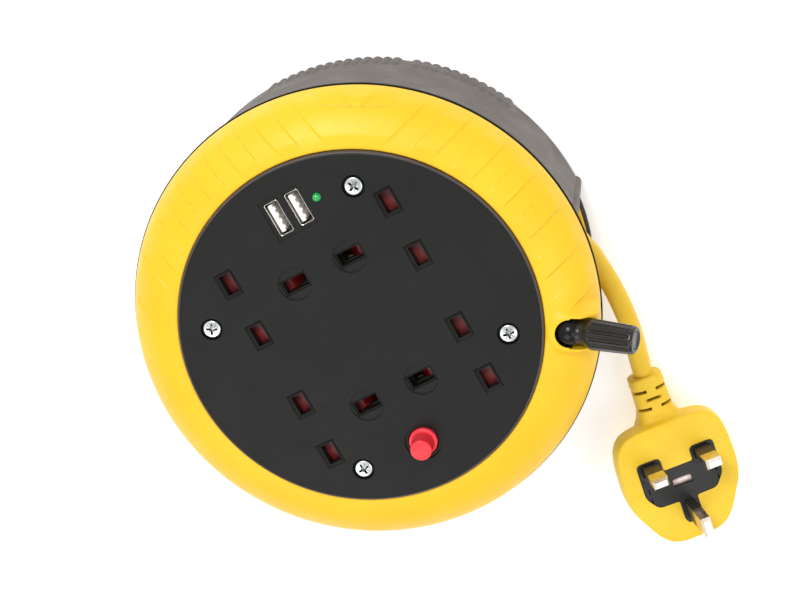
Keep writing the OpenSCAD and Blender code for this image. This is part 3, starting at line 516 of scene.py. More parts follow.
FINISH = {
    "rear_housing": "housing", "rubber_feet": "foot", "spindle": "housing", "spindle_screws": "steel",
    "thrust_washer": "washer", "retaining_washer": "steel", "retaining_screw": "steel", "front_ring": "drum",
    "drum_hub": "drum", "rear_flange": "drum", "hub_bush": "brass", "flange_screws": "steel", "drum_screws": "steel",
    "wound_cable": "cable", "cable_tail": "cable", "cord_clamp": "washer", "clamp_screws": "steel",
    "socket_plate": "plate", "plate_screws": "zinc", "contact_carrier": "carrier", "carrier_screws": "steel",
    "live_contacts": "brass", "neutral_contacts": "brass", "earth_contacts": "brass", "live_wires": "wire_brown",
    "neutral_wires": "wire_blue", "earth_wires": "wire_green", "usb_board": "pcb", "usb_screws": "steel",
    "usb_transformer": "coil", "usb_shells": "nickel", "usb_tongues": "usb_white", "status_led": "led",
    "thermal_cutout": "cutout", "cutout_screws": "steel", "cutout_terminals": "brass", "reset_spring": "steel",
    "reset_button": "button", "shutter_a": "shutter", "shutter_b": "shutter", "shutter_c": "shutter",
    "shutter_d": "shutter", "shutter_spring_a": "steel", "shutter_spring_b": "steel", "shutter_spring_c": "steel",
    "shutter_spring_d": "steel", "handle_pin": "steel", "handle_core": "ball", "grip_screw": "handle",
    "handle_grip": "handle", "free_cord": "cable", "plug_body": "plug", "plug_strain_relief": "plug",
    "plug_pin_carrier": "pins", "plug_fuse": "nickel", "plug_pin_live": "pin_metal", "plug_pin_neutral": "pin_metal",
    "plug_pin_earth": "pin_metal", "plug_pin_sleeves": "sleeve",
}
for node_name, ob in NODES.items():
    for slot_ in ob.material_slots:
        slot_.material = MAT[FINISH[node_name]]
    if not ob.material_slots:
        ob.data.materials.append(MAT[FINISH[node_name]])

# ------------------------------------------------------------------ camera

cam_data = bpy.data.cameras.new("camera")
cam_data.lens = 77.62
cam_data.sensor_width = 36
cam_data.sensor_fit = "HORIZONTAL"
cam_data.clip_start = 0.01
cam_data.clip_end = 20
cam = bpy.data.objects.new("camera", cam_data)
bpy.context.scene.collection.objects.link(cam)
view = Matrix(((0.86426209, 0.43292984, 0.25616946, 0.1798),
               (-0.48859056, 0.84362138, 0.22267068, 0.1429),
               (-0.11970925, -0.3176078, 0.94063541, 0.6661),
               (0, 0, 0, 1)))
cam.matrix_world = view
bpy.context.scene.camera = cam

# ------------------------------------------------------------------ plug frame and its pieces

PLUG = (Matrix.Translation((0.0706, -0.1192, 0.0226)) @ Matrix.Rotation(rad(-10), 4, "Z")
        @ Matrix.Rotation(rad(15), 4, "Y"))
HALF = 11.115
PITCH = 22.23


def loft_xy(name, outline, levels, about=(0, -9), n=200):
    """Closed body from one outline scaled at each level (z, scale)"""
    o = even(outline, n)
    c = np.array(about, float)
    P = np.zeros((len(levels), n, 3))
    for i, (z, s) in enumerate(levels):
        P[i, :, :2] = c + (o - c) * s
        P[i, :, 2] = z
    ob = rings(name, P, (*about, levels[0][0]), (*about, levels[-1][0]))
    outward(ob)
    return ob


def super_sections(name, sections, n=96, power=4.0):
    """Closed body from rounded-rectangle sections across Y: (y, half width, z low, z high)"""
    a = np.arange(n) * 2 * math.pi / n
    ca, sa = np.cos(a), np.sin(a)
    k = (np.abs(ca) ** power + np.abs(sa) ** power) ** (-1 / power)
    P = np.zeros((len(sections), n, 3))
    for i, (y, hw, z0, z1) in enumerate(sections):
        P[i, :, 0] = hw * ca * k
        P[i, :, 1] = y
        P[i, :, 2] = (z0 + z1) / 2 + (z1 - z0) / 2 * sa * k
    mid = lambda s: (0, s[0], (s[2] + s[3]) / 2)
    ob = rings(name, P, mid(sections[0]), mid(sections[-1]))
    outward(ob)
    return ob


plug_half = [(12.2, 16.5), (18.6, 15.0), (22.4, 10.4), (23.7, 3), (24.1, -9), (23.0, -16.4), (16.2, -29.4),
             (12.2, -33.8), (7.0, -35.5)]
plug_line = plug_half + [(-x, y) for x, y in reversed(plug_half)]
carrier_half = [(16.4, 3.3), (16.5, -11.6), (12.5, -17.3), (3.8, -17.5), (3.8, -25.5), (2.6, -27.8)]
carrier_line = ([(6.3, -2.7), (6.3, 3.3)] + carrier_half + [(-x, y) for x, y in reversed(carrier_half)]
                + [(-6.3, 3.3), (-6.3, -2.7)])


carrier_round = [1.0] + [2.2, 2.2, 2.0, 2.0, 1.0, 1.0, 1.0] + [1.0, 1.0, 1.0, 2.0, 2.0, 2.2, 2.2] + [1.0]


def grown(points, d):
    """Outline moved outwards by d along its own normals"""
    P = np.array(points, float)
    a, b = np.roll(P, 1, axis=0), np.roll(P, -1, axis=0)
    t1, t2 = P - a, b - P
    t1 /= np.linalg.norm(t1, axis=1)[:, None]
    t2 /= np.linalg.norm(t2, axis=1)[:, None]
    n1, n2 = np.c_[t1[:, 1], -t1[:, 0]], np.c_[t2[:, 1], -t2[:, 0]]
    area = 0.5 * np.sum(P[:, 0] * b[:, 1] - b[:, 0] * P[:, 1])
    sign = 1 if area > 0 else -1
    n = n1 + n2
    n /= np.maximum(1e-6, (1 + np.sum(n1 * n2, axis=1)))[:, None]
    return (P + sign * d * n).tolist()


# moulded body: lofted shell and saddle, fused and softened, then the seat of the pin carrier
body_levels = [(0, 0.956), (-0.12, 0.970), (-0.5, 0.983), (-1.2, 0.991), (-3, 0.997), (-8, 1.0), (-10.5, 0.972),
               (-13, 0.925), (-15, 0.868), (-17, 0.78), (-18.5, 0.68), (-19.5, 0.56), (-20, 0.44)]
shell = loft_xy("shell", rounded(plug_line, 4.5), body_levels)
saddle = super_sections("saddle", [(4, 14.0, -17.4, -0.8), (9, 13.4, -17.2, -1.0), (12.6, 11.6, -17.0, -1.8),
                                   (15.2, 9.8, -16.8, -3.0), (17.2, 8.5, -16.5, -4.0), (19.0, 7.6, -16.35, -4.6),
                                   (20.6, 7.25, -16.3, -4.75)], power=3.6)
plug_body = joined("plug_moulding", [shell, saddle])
voxels(plug_body, 0.42, passes=5)
seat = prism("seat", grown(rounded(carrier_line, carrier_round), 0.06), -4.05, 6)
fuse_bed = lathe("fuse_bed", [(0, 0), (3.2, 0), (3.2, 26), (0, 26)], n=48)
fuse_bed.data.transform(Matrix.Translation((-0.013, -0.0095, -0.0042)) @ Matrix.Rotation(rad(90), 4, "Y"))
cut(plug_body, [seat, fuse_bed])
shade(plug_body, 38)
plug_body.data.transform(PLUG)
settle(plug_body, MAT["plug"], "housing", "plug_yellow", "plug_body")

# strain relief: tapered, with a collar at the cable's end and staggered slots through its skin
n_y, n_a = 150, 176
ys = np.linspace(18.4, 35.1, n_y)
aa = np.arange(n_a) * 2 * math.pi / n_a
hw = np.interp(ys, [18.4, 20.2, 30.8, 31.2, 34.4, 34.9, 35.1], [7.35, 7.2, 6.75, 7.02, 6.85, 6.7, 6.4])
hh = np.interp(ys, [18.4, 20.2, 30.8, 31.2, 34.4, 34.9, 35.1], [6.0, 5.9, 5.5, 5.74, 5.62, 5.5, 5.25])
kk = (np.abs(np.cos(aa)) ** 3.1 + np.abs(np.sin(aa)) ** 3.1) ** (-1 / 3.1)
P = np.zeros((n_y, n_a, 3))
for i, y in enumerate(ys):
    x = hw[i] * np.cos(aa) * kk
    z = hh[i] * np.sin(aa) * kk
    depth = np.zeros(n_a)
    for row, sides in ((29.6, True), (25.9, False), (22.2, True)):
        along = smooth((0.66 - abs(y - row)) / 0.16)
        if sides:
            across = smooth((np.abs(x) - 2.1) / 0.2) * smooth((np.abs(z) - 1.6) / 0.2)
        else:
            across = smooth((3.3 - np.abs(x)) / 0.2) * smooth((np.abs(z) - 3.0) / 0.2)
        depth = np.maximum(depth, 2.6 * along * across)
    shrink = 1 - depth / np.hypot(x, z)
    P[i, :, 0] = x * shrink
    P[i, :, 1] = y
    P[i, :, 2] = -10.5 + z * shrink
strain = rings("strain_relief", P, (0, ys[0], -10.5), (0, ys[-1], -10.5), angle=50)
outward(strain)
strain.data.transform(PLUG)
settle(strain, MAT["plug"], "housing", "plug_yellow", "plug_strain_relief")

# pin carrier: plate with rounded corners, raised rims round the two power pins, their wells, slits and fuse window
plate_line = rounded(carrier_line, carrier_round)
parts = [prism("slab", plate_line, -4.0, 0.12)]
for s in (-1, 1):
    ear = rounded([(6.35, -4.4), (6.35, 3.25), (16.35, 3.25), (16.35, -4.4)], 2.2)
    ear = [(s * x, y) for x, y in ear]
    parts.append(prism(f"ear{s}", ear if s > 0 else ear[::-1], -3.6, 0.55))
carrier = joined("pin_carrier", parts)
voxels(carrier, 0.2, passes=0)
holes = []
for s in (-1, 1):
    cx = s * HALF
    holes.append(prism(f"well{s}", rounded([(cx - 3.75, -2.55), (cx - 3.75, 2.15), (cx + 3.75, 2.15), (cx + 3.75, -2.55)], 0.5), -0.95, 3))
    holes.append(prism(f"step{s}", rounded([(cx - 3.75, -5.2), (cx - 3.75, -2.3), (cx + 3.75, -2.3), (cx + 3.75, -5.2)], 0.3), 0.1, 3))
    holes.append(box_mesh(f"hole{s}", cx - 2.7, cx + 2.7, -1.5, 1.5, -6, 1))
    holes.append(box_mesh(f"slit{s}", cx - 2.3, cx + 2.3, 2.55, 2.85, -0.25, 1))
    for yy in (-13.2, -9.2):
        holes.append(box_mesh(f"nick{s}{yy}", s * 14.3 - 0.32, s * 14.3 + 0.32, yy - 1.15, yy + 1.15, -1.2, 1))
holes.append(box_mesh("earth_hole", -1.5, 1.5, -PITCH - 3.45, -PITCH + 3.45, -6, 1))
holes.append(box_mesh("earth_seat", -1.985, 1.985, -PITCH - 3.96, -PITCH + 3.96, -0.9, 1))
holes.append(prism("window", rounded([(-4.1, -11.3), (3.9, -11.3), (3.9, -7.7), (-4.1, -7.7)], 0.5), -5, 1))
tube_ = lathe("tube", [(0, 0), (3.2, 0), (3.2, 26), (0, 26)], n=48)
tube_.data.transform(Matrix.Translation((-0.013, -0.0095, -0.0042)) @ Matrix.Rotation(rad(90), 4, "Y"))
holes.append(tube_)
cut(carrier, holes)
shade(carrier, 34)
carrier.data.transform(PLUG)
settle(carrier, MAT["pins"], "housing", "plate_black", "plug_pin_carrier")

# cartridge fuse: ceramic barrel with pressed end caps
fuse_profile = [(0, 0)] + arc(2.75, 0.4, 0.4, -90, 0, 4) + [(3.15, 5.7), (3.1, 5.9), (2.95, 6.0), (2.88, 6.05),
                                                         (2.88, 19.35), (2.95, 19.4), (3.1, 19.5), (3.15, 19.7)]
fuse_profile += [(3.15, 25.0)] + arc(2.75, 25.0, 0.4, 0, 90, 4) + [(0, 25.4)]
fuse = lathe("cartridge_fuse", dense(fuse_profile, 0.6), n=72)
fuse.data.transform(PLUG @ Matrix.Translation((-0.0127, -0.0095, -0.0042)) @ Matrix.Rotation(rad(90), 4, "Y"))


def fuse_material():
    """One pale pink-white colour with a touch of metal over the whole fuse, its metal caps and ceramic barrel alike"""
    m, nt, b = new_mat("fuse")
    co = nt.nodes.new("ShaderNodeTexCoord").outputs["Object"]
    fine = noise(nt, co, 900, 4, 0.6)
    slow = noise(nt, co, 330, 3, 0.5)
    col = blend_col(nt, remap(nt, slow, 0.35, 0.65, 0, 1), lin(206, 180, 174), lin(244, 230, 226))
    col = blend_col(nt, remap(nt, fine, 0.35, 0.65, 0.5, 0.1), col, lin(230, 208, 202))
    nt.links.new(col, b.inputs["Base Color"])
    nt.links.new(remap(nt, fine, 0.3, 0.7, 0.2, 0.4), b.inputs["Roughness"])
    b.inputs["Metallic"].default_value = 0.15
    bump = nt.nodes.new("ShaderNodeBump")
    bump.inputs["Strength"].default_value = 0.4
    bump.inputs["Distance"].default_value = 0.00005
    nt.links.new(fine, bump.inputs["Height"])
    nt.links.new(bump.outputs["Normal"], b.inputs["Normal"])
    return m


MAT["fuse"] = fuse_material()
settle(fuse, MAT["fuse"], "housing", "ceramic", "plug_fuse")

# ------------------------------------------------------------------ cords

def poly_curve(name, pts, radius, sides):
    cu = bpy.data.curves.new(name, "CURVE")
    cu.dimensions = "3D"
    cu.bevel_depth = radius * MM
    cu.bevel_resolution = sides
    cu.use_fill_caps = True
    sp = cu.splines.new("POLY")
    sp.points.add(len(pts) - 1)
    for p, q in zip(sp.points, pts):
        p.co = (q[0] * MM, q[1] * MM, q[2] * MM, 1)
    ob = bpy.data.objects.new(name, cu)
    bpy.context.scene.collection.objects.link(ob)
    return ob


def winding(radii=(60.16, 68.24, 76.3), levels=(15.4, 24.4, 33.4, 42.0), first=40.0, last=3722.0, step=6.0):
    """Three layers of level turns; each turn steps to its neighbour over 40 degrees"""
    ev = [(360 * k, 360 * k + 40, "z", levels[k - 1], levels[k]) for k in (1, 2, 3)]
    ev.append((1380, 1440, "r", radii[0], radii[1]))
    ev += [(1700 + 360 * i, 1740 + 360 * i, "z", levels[k], levels[k - 1]) for i, k in enumerate((3, 2, 1))]
    ev.append((2720, 2780, "r", radii[1], radii[2]))
    ev += [(3040, 3080, "z", levels[0], levels[1]), (3400, 3440, "z", levels[1], levels[2])]

    def at(kind, t, v):
        for a, b, k, f, g in ev:
            if k == kind:
                if t >= b:
                    v = g
                elif t > a:
                    v = f + (g - f) * float(smooth((t - a) / (b - a)))
        return v

    n = int(round((last - first) / step))
    pts = []
    for i in range(n + 1):
        t = first + (last - first) * i / n
        r, z, a = at("r", t, radii[0]), at("z", t, levels[0]), rad(10 + last - t)
        pts.append((r * math.cos(a), r * math.sin(a), z))
    return pts


wound_pts = winding()
wound = poly_curve("wound_lead", wound_pts, 4.0, 6)
settle(wound, MAT["cable"], "drum", "cable_yellow", "wound_cable")

# the free cord: off the last turn, through the window, down to the floor's level and into the plug
cord_pts = [(81.9, -25, 31.7), (82, -33, 29), (82, -41, 26.4), (81.3, -49.6, 23.2), (80.3, -57, 20.4),
            (79, -64, 17.5), (77.4, -70.5, 15), (75.8, -76, 13.2), (74.49, -81.5, 12.46)]


def fine(p):
    p = [np.array(q, float) for q in p]
    out = []
    for i in range(len(p) - 1):
        out.append(p[i])
        out.append((p[i] * 9 + p[i + 1] * 9 - p[max(i - 1, 0)] - p[min(i + 2, len(p) - 1)]) / 16)
    out.append(p[-1])
    return [tuple(q) for q in out]


T0 = np.array(wound_pts[-1], float)
lead = []
for s in (0, 6, 12, 18, 23, 27, 30, 33, 36):
    q = T0 + s * np.array([0.1736, -0.9848, 0])
    bend = max(0.0, s - 28.7)
    lead.append((q[0], q[1], q[2] - bend * bend / 61))
tail_dir = np.array([math.sin(rad(-10)), -math.cos(rad(-10)), 0])
free_pts = lead + fine(cord_pts) + [tuple(np.array(cord_pts[-1]) + tail_dir * 2.2),
                                    tuple(np.array(cord_pts[-1]) + tail_dir * 4.4),
                                    tuple(np.array(cord_pts[-1]) + tail_dir * 7.8)]
cord_ob = poly_curve("free_lead", free_pts, 4.0, 10)
settle(cord_ob, MAT["cable"], "housing", "cable_yellow", "free_cord")

# ------------------------------------------------------------------ front ring: moulded skin with its relief

HA = rad(-27.9)
BALL = (76.9 * math.cos(HA), 76.9 * math.sin(HA), 74.0)
AXIS_A = rad(61.3)


def ring_skin():
    cols = []
    a = 0.0
    while a < 360 - 1e-9:
        near = abs((a - (-27.9) + 180) % 360 - 180) < 10.5
        cols.append(a)
        a += 0.12 if near else 0.3
    cols = np.radians(np.array(cols))
    n = len(cols)
    ts = np.linspace(5.0, 90.0, 84)
    outer = [(68.02, 75.0, 0), (68.02, 75.9, 0), (68.07, 76.12, 0), (68.22, 76.3, 0), (68.5, 76.39, 0)]
    crown = lambda t, a=20.0, b=15.6: (68.1 + a * math.sin(rad(t)) ** 1.2, 60.8 + b * max(0.0, math.cos(rad(t))) ** 1.2)
    outer += [(*crown(t), 1) for t in ts]
    outer += [(88.1, 60.72, 0), (88.06, 60.63, 0), (87.96, 60.57, 0), (87.6, 60.54, 0), (85.42, 60.54, 0)]
    inner = [(85.42, 60.9), (86.1, 61.3)]
    inner += [crown(t, 18.9, 14.5) for t in np.linspace(80, 6, 24)]
    inner += [(69.0, 75.0)]
    slope = {}
    for t in ts:
        (r0, z0), (r1, z1) = crown(max(t - 0.5, 1.0)), crown(min(t + 0.5, 90.0))
        k = math.hypot(r1 - r0, z1 - z0)
        slope[crown(t)] = ((z0 - z1) / k, (r1 - r0) / k)
    P = np.zeros((len(outer) + len(inner), n, 3))
    ca, sa = np.cos(cols), np.sin(cols)
    s43, c43 = math.sin(rad(43)), math.cos(rad(43))
    for i, (r, z, on) in enumerate(outer):
        x, y = r * ca, r * sa
        u = x * math.sin(AXIS_A) - y * math.cos(AXIS_A)
        v = x * math.cos(AXIS_A) + y * math.sin(AXIS_A)
        w = np.abs(u) * s43 - v * c43
        ph = (w + 36.7) % 14.93
        wave = smooth(ph / 0.4) * (1 - smooth((ph - 7.45) / 0.4))
        panel = smooth((-43.95 - w) / 0.36) * smooth((82.0 - v) / 0.36)
        wave = np.maximum(wave, panel)
        groove = smooth(1 - np.abs(v - 82.0) / 0.45) * smooth((23 - np.abs(u - 1)) / 1.0)
        mask = smooth((r - 69.4) / 4.0) * (1 - smooth((r - 84.2) / 3.4)) * smooth((v + 6) / 22)
        h = (0.02 + 0.62 * wave * mask - 0.26 * groove * mask) * on
        if on:
            sn, cn = slope[(r, z)]
            rr, zz = r + h * sn, z + h * cn
        else:
            rr, zz = np.full(n, r), np.full(n, z)
        # mound round the handle's ball, running out to the rim
        x, y = rr * ca, rr * sa
        s = x * math.cos(HA) + y * math.sin(HA) - 76.9
        lat = -x * math.sin(HA) + y * math.cos(HA)
        if on or r > 88:
            d = np.where(s < 0, np.hypot(s, lat), np.abs(lat))
            zt = 77.42 - 0.75 * np.maximum(0, s - 4)
            edge = np.sqrt(np.clip(1 - (np.clip(rr - 86.2, 0, 2.1) / 2.1) ** 2, 0, 1))
            zt = 60.8 + (zt - 60.8) * edge
            zz = zz + np.maximum(0, zt - zz) * (1 - smooth((d - 6.2) / 3.6)) * (np.abs(s) < 14)
        P[i, :, 0], P[i, :, 1], P[i, :, 2] = rr * ca, rr * sa, zz
    for j, (r, z) in enumerate(inner):
        P[len(outer) + j, :, 0], P[len(outer) + j, :, 1], P[len(outer) + j, :, 2] = r * ca, r * sa, z
    ob = rings("ring_skin", P, wrap_rows=True)
    outward(ob)
    return ob


def at_handle(ob, tilt=False):
    m = Matrix.Rotation(HA, 4, "Z") @ Matrix.Translation((0.0769, 0, 0.074))
    if tilt:
        m = m @ Matrix.Rotation(rad(90 - 21), 4, "Y")
    ob.data.transform(m)
    return ob


ring = ring_skin()
c_ball = at_handle(lathe("c_ball", [(0, -5.33)] + [(5.33 * math.cos(rad(t)), 5.33 * math.sin(rad(t))) for t in range(-85, 86, 5)]
                         + [(0, 5.33)], n=96))
c_up = at_handle(lathe("c_up", [(0, -0.05), (5.42, -0.05), (5.42, 20), (0, 20)], n=128))
c_in = at_handle(lathe("c_in", [(0, 1.5), (5.86, 1.5), (5.86, 20), (0, 20)], n=96), True)
c_out = at_handle(lathe("c_out", [(0, 8), (6.15, 8), (6.15, 40), (0, 40)], n=96), True)
wedge = prism("c_wedge", [(0, 0), (40 * math.cos(rad(21)), 40 * math.sin(rad(21))), (40, 60), (0, 60)], -5.87, 5.87)
wedge.data.transform(Matrix.Rotation(rad(90), 4, "X"))
at_handle(wedge)
cut(ring, [c_ball, c_up, c_in, c_out, wedge])
shade(ring, 40)
settle(ring, MAT["ring"], "drum", "shell_yellow")

# dark lining of the ball's socket, open on the grip's side
lining = at_handle(lathe("socket_lining", dense([(5.29, 0.2), (5.29, 2.75), (5.33, 2.88), (5.40, 2.93), (5.47, 2.86), (5.5, 2.7), (5.5, 0.2)], 0.5), n=160, angle=40))
l_in = at_handle(lathe("l_in", [(0, 1.5), (5.86, 1.5), (5.86, 20), (0, 20)], n=96), True)
l_wedge = prism("l_wedge", [(0.6, 0.1), (40 * math.cos(rad(21)), 40 * math.sin(rad(21))), (40, 60), (0.6, 60)], -5.2, 5.2)
l_wedge.data.transform(Matrix.Rotation(rad(90), 4, "X"))
at_handle(l_wedge)
cut(lining, [l_in, l_wedge])
shade(lining, 40)
settle(lining, MAT["dark_band"], "drum", "handle_black")

# near-black band between the ring's edge and the housing: painted shade, a dark part put where the ring's edge throws
# its shadow line
dark_band = lathe("ring_edge_shade_band", [(88.0, 60.64), (88.36, 60.5), (88.58, 60.25), (88.58, 58.95), (88.44, 58.72), (88.0, 58.6), (85.6, 58.6), (85.42, 58.8),
                           (85.42, 60.5), (87.6, 60.6)],
             n=480, angle=40)
settle(dark_band, MAT["dark_band"], "drum", "plate_black")

# rounded edge band of the socket plate, coloured lighter grey-brown than the black plate: a painted reflection of light
# on its edge
edge = lathe("plate_edge", [(67.3, 75.05), (67.66, 75.05), (67.78, 75.2), (67.78, 77.0), (67.7, 77.25), (67.55, 77.48), (67.32, 77.66), (67.1, 77.77),
                            (66.98, 77.78), (66.93, 77.7), (66.93, 77.2), (67.3, 76.8)], n=480, angle=50)
settle(edge, MAT["rim"], "drum", "plate_black")

# ------------------------------------------------------------------ winding handle

core_profile = [(0, -5.27)] + [(5.27 * math.cos(rad(t)), 5.27 * math.sin(rad(t))) for t in np.arange(-88, 50.1, 2.5)]
core_profile += [(2.86, 4.05), (2.7, 4.5), (2.62, 5.2), (2.6, 6.0), (2.6, 22.9), (2.45, 23.12), (0, 23.15)]
core = at_handle(lathe("handle_ball", core_profile, n=128, angle=40), True)
settle(core, MAT["ball"], "handle", "handle_black", "handle_core")

GRIP = [(2.66, 23.0), (2.66, 4.45), (2.95, 4.2), (3.3, 4.0), (3.6, 3.72), (3.87, 3.5), (4.12, 3.4), (4.28, 3.5), (4.26, 4.1), (4.17, 4.8),
        (4.2, 5.4), (4.33, 6.0), (4.7, 6.75), (5.12, 7.6), (5.48, 8.4), (5.66, 8.95), (5.74, 9.4), (5.745, 9.8), (5.7, 10.2),
        (5.26, 23.7), (5.2, 24.2), (5.08, 24.7), (4.9, 25.05), (4.65, 25.28), (4.35, 25.38), (3.9, 25.4), (3.5, 25.36), (3.34, 25.22), (3.3, 25.0), (3.3, 23.0)]
grip_rows = dense(GRIP[1:20], 0.22)
grip_rows = [GRIP[0]] + dense([GRIP[0], GRIP[1]], 3)[1:] + grip_rows[1:] + GRIP[20:]


def fluted(r, s, a):
    """Twelve grooves along the grip that run out at both ends"""
    if r < 4.9 or s > 24.3:
        return np.full(len(a), r)
    centre = 5.62 - math.tan(rad(1.2)) * (s - 8.8) + 0.02
    fade = float(smooth((s - 8.6) / 0.5)) * float(smooth((23.9 - s) / 0.5))
    b = (a + math.pi / 12) % (2 * math.pi / 12) - math.pi / 12
    x = centre * np.sin(b)
    inside = np.abs(x) < 0.62
    floor = centre * np.cos(b) - np.sqrt(np.clip(0.62 ** 2 - x ** 2, 0, None))
    return np.where(inside, r + (np.minimum(r, floor) - r) * fade, r)


grip = at_handle(lathe("fluted_grip", grip_rows, n=360, radial=fluted, angle=45), True)
settle(grip, MAT["handle"], "grip", "handle_black", "handle_grip")

cap = [(0, 15.45), (1.1, 15.45), (1.2, 15.6), (1.2, 23.1), (2.95, 23.1), (3.12, 23.25), (3.12, 25.0), (3.06, 25.14), (2.9, 25.2),
       (2.6, 25.21), (2.45, 25.18), (2.38, 25.1), (2.34, 25.02), (2.2, 24.98), (0, 24.98)]
cap_ob = at_handle(lathe("grip_cap", cap, n=96, angle=40), True)
settle(cap_ob, MAT["handle"], "handle", "handle_black", "grip_screw")

# ------------------------------------------------------------------ screws with cross recess

def cross_screw(name, R, H, shank_r, shank_l, n=176, thread=0.28, pitch=1.25):
    """Pan-head screw with a crossed recess and its four witness lines; head seat at z = 0"""
    k = R / 3.5
    a = np.arange(n) * 2 * math.pi / n
    radii = np.r_[np.linspace(0.09, 0.8, 26) * R, np.linspace(0.82, 1.0, 10) * R]
    rows = []
    for r in radii:
        x, y = r * np.cos(a), r * np.sin(a)
        if r <= 0.8 * R:
            z = np.full(n, H * (1 - 0.14 * (r / (0.8 * R)) ** 2))
        else:
            q = (r - 0.8 * R) / (0.2 * R)
            z = np.full(n, H * 0.86 - H * 0.46 * (1 - math.sqrt(max(0.0, 1 - q * q))))
        rec = np.zeros(n)
        for p, q in ((np.abs(x), np.abs(y)), (np.abs(y), np.abs(x))):
            half_w = k * (0.52 - 0.06 * p / k)
            arm = smooth((half_w - q) / (0.14 * k)) * smooth((2.15 * k - p) / (0.3 * k))
            rec = np.maximum(rec, arm * (H * 0.70 - 0.16 * p))
        rec = np.maximum(rec, smooth((1.0 * k - r) / (0.25 * k)) * H * 0.72)
        uu, vv = np.abs(x + y) / math.sqrt(2), np.abs(x - y) / math.sqrt(2)
        for p, q in ((uu, vv), (vv, uu)):
            rec = np.maximum(rec, 0.16 * k * smooth((0.15 * k - q) / (0.09 * k)) * smooth((2.45 * k - p) / 0.2) * smooth((p - 0.9 * k) / 0.2))
        rows.append(np.c_[x, y, z - rec])
    def flat(r, z):
        rows.append(np.c_[r * np.cos(a), r * np.sin(a), np.full(n, z)])
    flat(R, H * 0.22)
    flat(R * 0.99, 0.02)
    flat(R * 0.95, 0.0)
    flat(shank_r * 1.05, 0.0)
    flat(shank_r * 0.86, -0.15)
    m = max(8, int(shank_l / 0.16))
    for z in np.linspace(-0.5, -shank_l + 1.2, m):
        ph = (z / pitch - a / (2 * math.pi)) % 1.0
        crest = np.clip(1 - np.abs(ph - 0.5) / 0.28, 0, 1)
        rr = shank_r * (1 - thread) + shank_r * thread * crest
        rows.append(np.c_[rr * np.cos(a), rr * np.sin(a), np.full(n, z)])
    flat(shank_r * 0.55, -shank_l + 0.6)
    ob = rings(name, np.array(rows), (0, 0, H * 0.28), (0, 0, -shank_l), angle=38)
    outward(ob)
    return ob


def screw_set(name, places, R, H, shank_r, shank_l, mat, body, node, slot="steel", down=False):
    obs = []
    for i, (x, y, z, turn) in enumerate(places):
        o = cross_screw(f"{name}_{i}", R, H, shank_r, shank_l)
        m = Matrix.Translation((x * MM, y * MM, z * MM))
        if down:
            m = m @ Matrix.Rotation(math.pi, 4, "X")
        o.data.transform(m @ Matrix.Rotation(rad(turn), 4, "Z"))
        obs.append(o)
    ob = joined(name, obs)
    shade(ob, 38)
    return settle(ob, MAT[mat], body, slot, node)


plate_places = []
for k in range(4):
    a = -27.9 + 90 * k
    plate_places.append((54.87 * math.cos(rad(a)), 54.87 * math.sin(rad(a)), 76.0, a + 20 + 35 * k))
screw_set("plate_cross_screws", plate_places, 3.5, 2.1, 1.6, 20, "zinc", "drum", "plate_screws")
screw_set("spindle_cross_screws", [(18 * math.cos(rad(45 + 90 * k)), 18 * math.sin(rad(45 + 90 * k)), 2.9, 12 + 50 * k) for k in range(4)],
          3.2, 1.5, 1.5, 5.9, "steel", "housing", "spindle_screws", down=True)
screw_set("retaining_cross_screw", [(0, 0, 49.9, 25)], 5, 3, 2.5, 20, "steel", "housing", "retaining_screw")

# ------------------------------------------------------------------ reset button, indicator, springs

button = lathe("reset_cap", [(0, 64.4), (3.0, 64.4), (3.2, 64.6), (3.2, 65.75), (3.05, 65.9), (2.3, 65.9), (2.2, 66.0), (2.2, 76.2), (5.2, 76.2),
                             (5.36, 76.35), (5.4, 77.0), (5.38, 78.0), (5.25, 78.35), (5.0, 78.5), (4.6, 78.52), (4.34, 78.62), (4.22, 78.9), (4.17, 79.4),
                             (4.08, 85.55), (4.03, 85.95), (3.88, 86.25), (3.66, 86.44), (3.4, 86.5), (3.15, 86.46), (2.95, 86.36), (2.7, 86.3),
                             (1.5, 86.27), (0, 86.26)], n=128, angle=40)
button.data.transform(Matrix.Translation((0, -0.0488, 0)))
settle(button, MAT["button"], "button", "button_red", "reset_button")

led_profile = [(0, 69.0), (2.1, 69.0), (2.2, 69.1), (2.2, 70.1), (2.1, 70.2), (1.65, 70.2), (1.65, 77.9)]
led_profile += [(1.65 * math.cos(rad(t)), 77.9 + 1.65 * math.sin(rad(t))) for t in range(8, 89, 8)] + [(0, 79.55)]
led = lathe("indicator_lens", led_profile, n=72, angle=40)
legs = []
for s in (-1, 1):
    leg = lathe(f"leg{s}", [(0, 63.6), (0.3, 63.6), (0.3, 69.05), (0, 69.05)], n=24)
    leg.data.transform(Matrix.Translation((s * 0.0009, 0, 0)))
    legs.append(leg)
led = joined("indicator_lens", [led] + legs)
shade(led, 40)
led.data.transform(Matrix.Translation((0.012, 0.0512, 0)))
settle(led, MAT["led"], "drum", "led_green", "status_led")


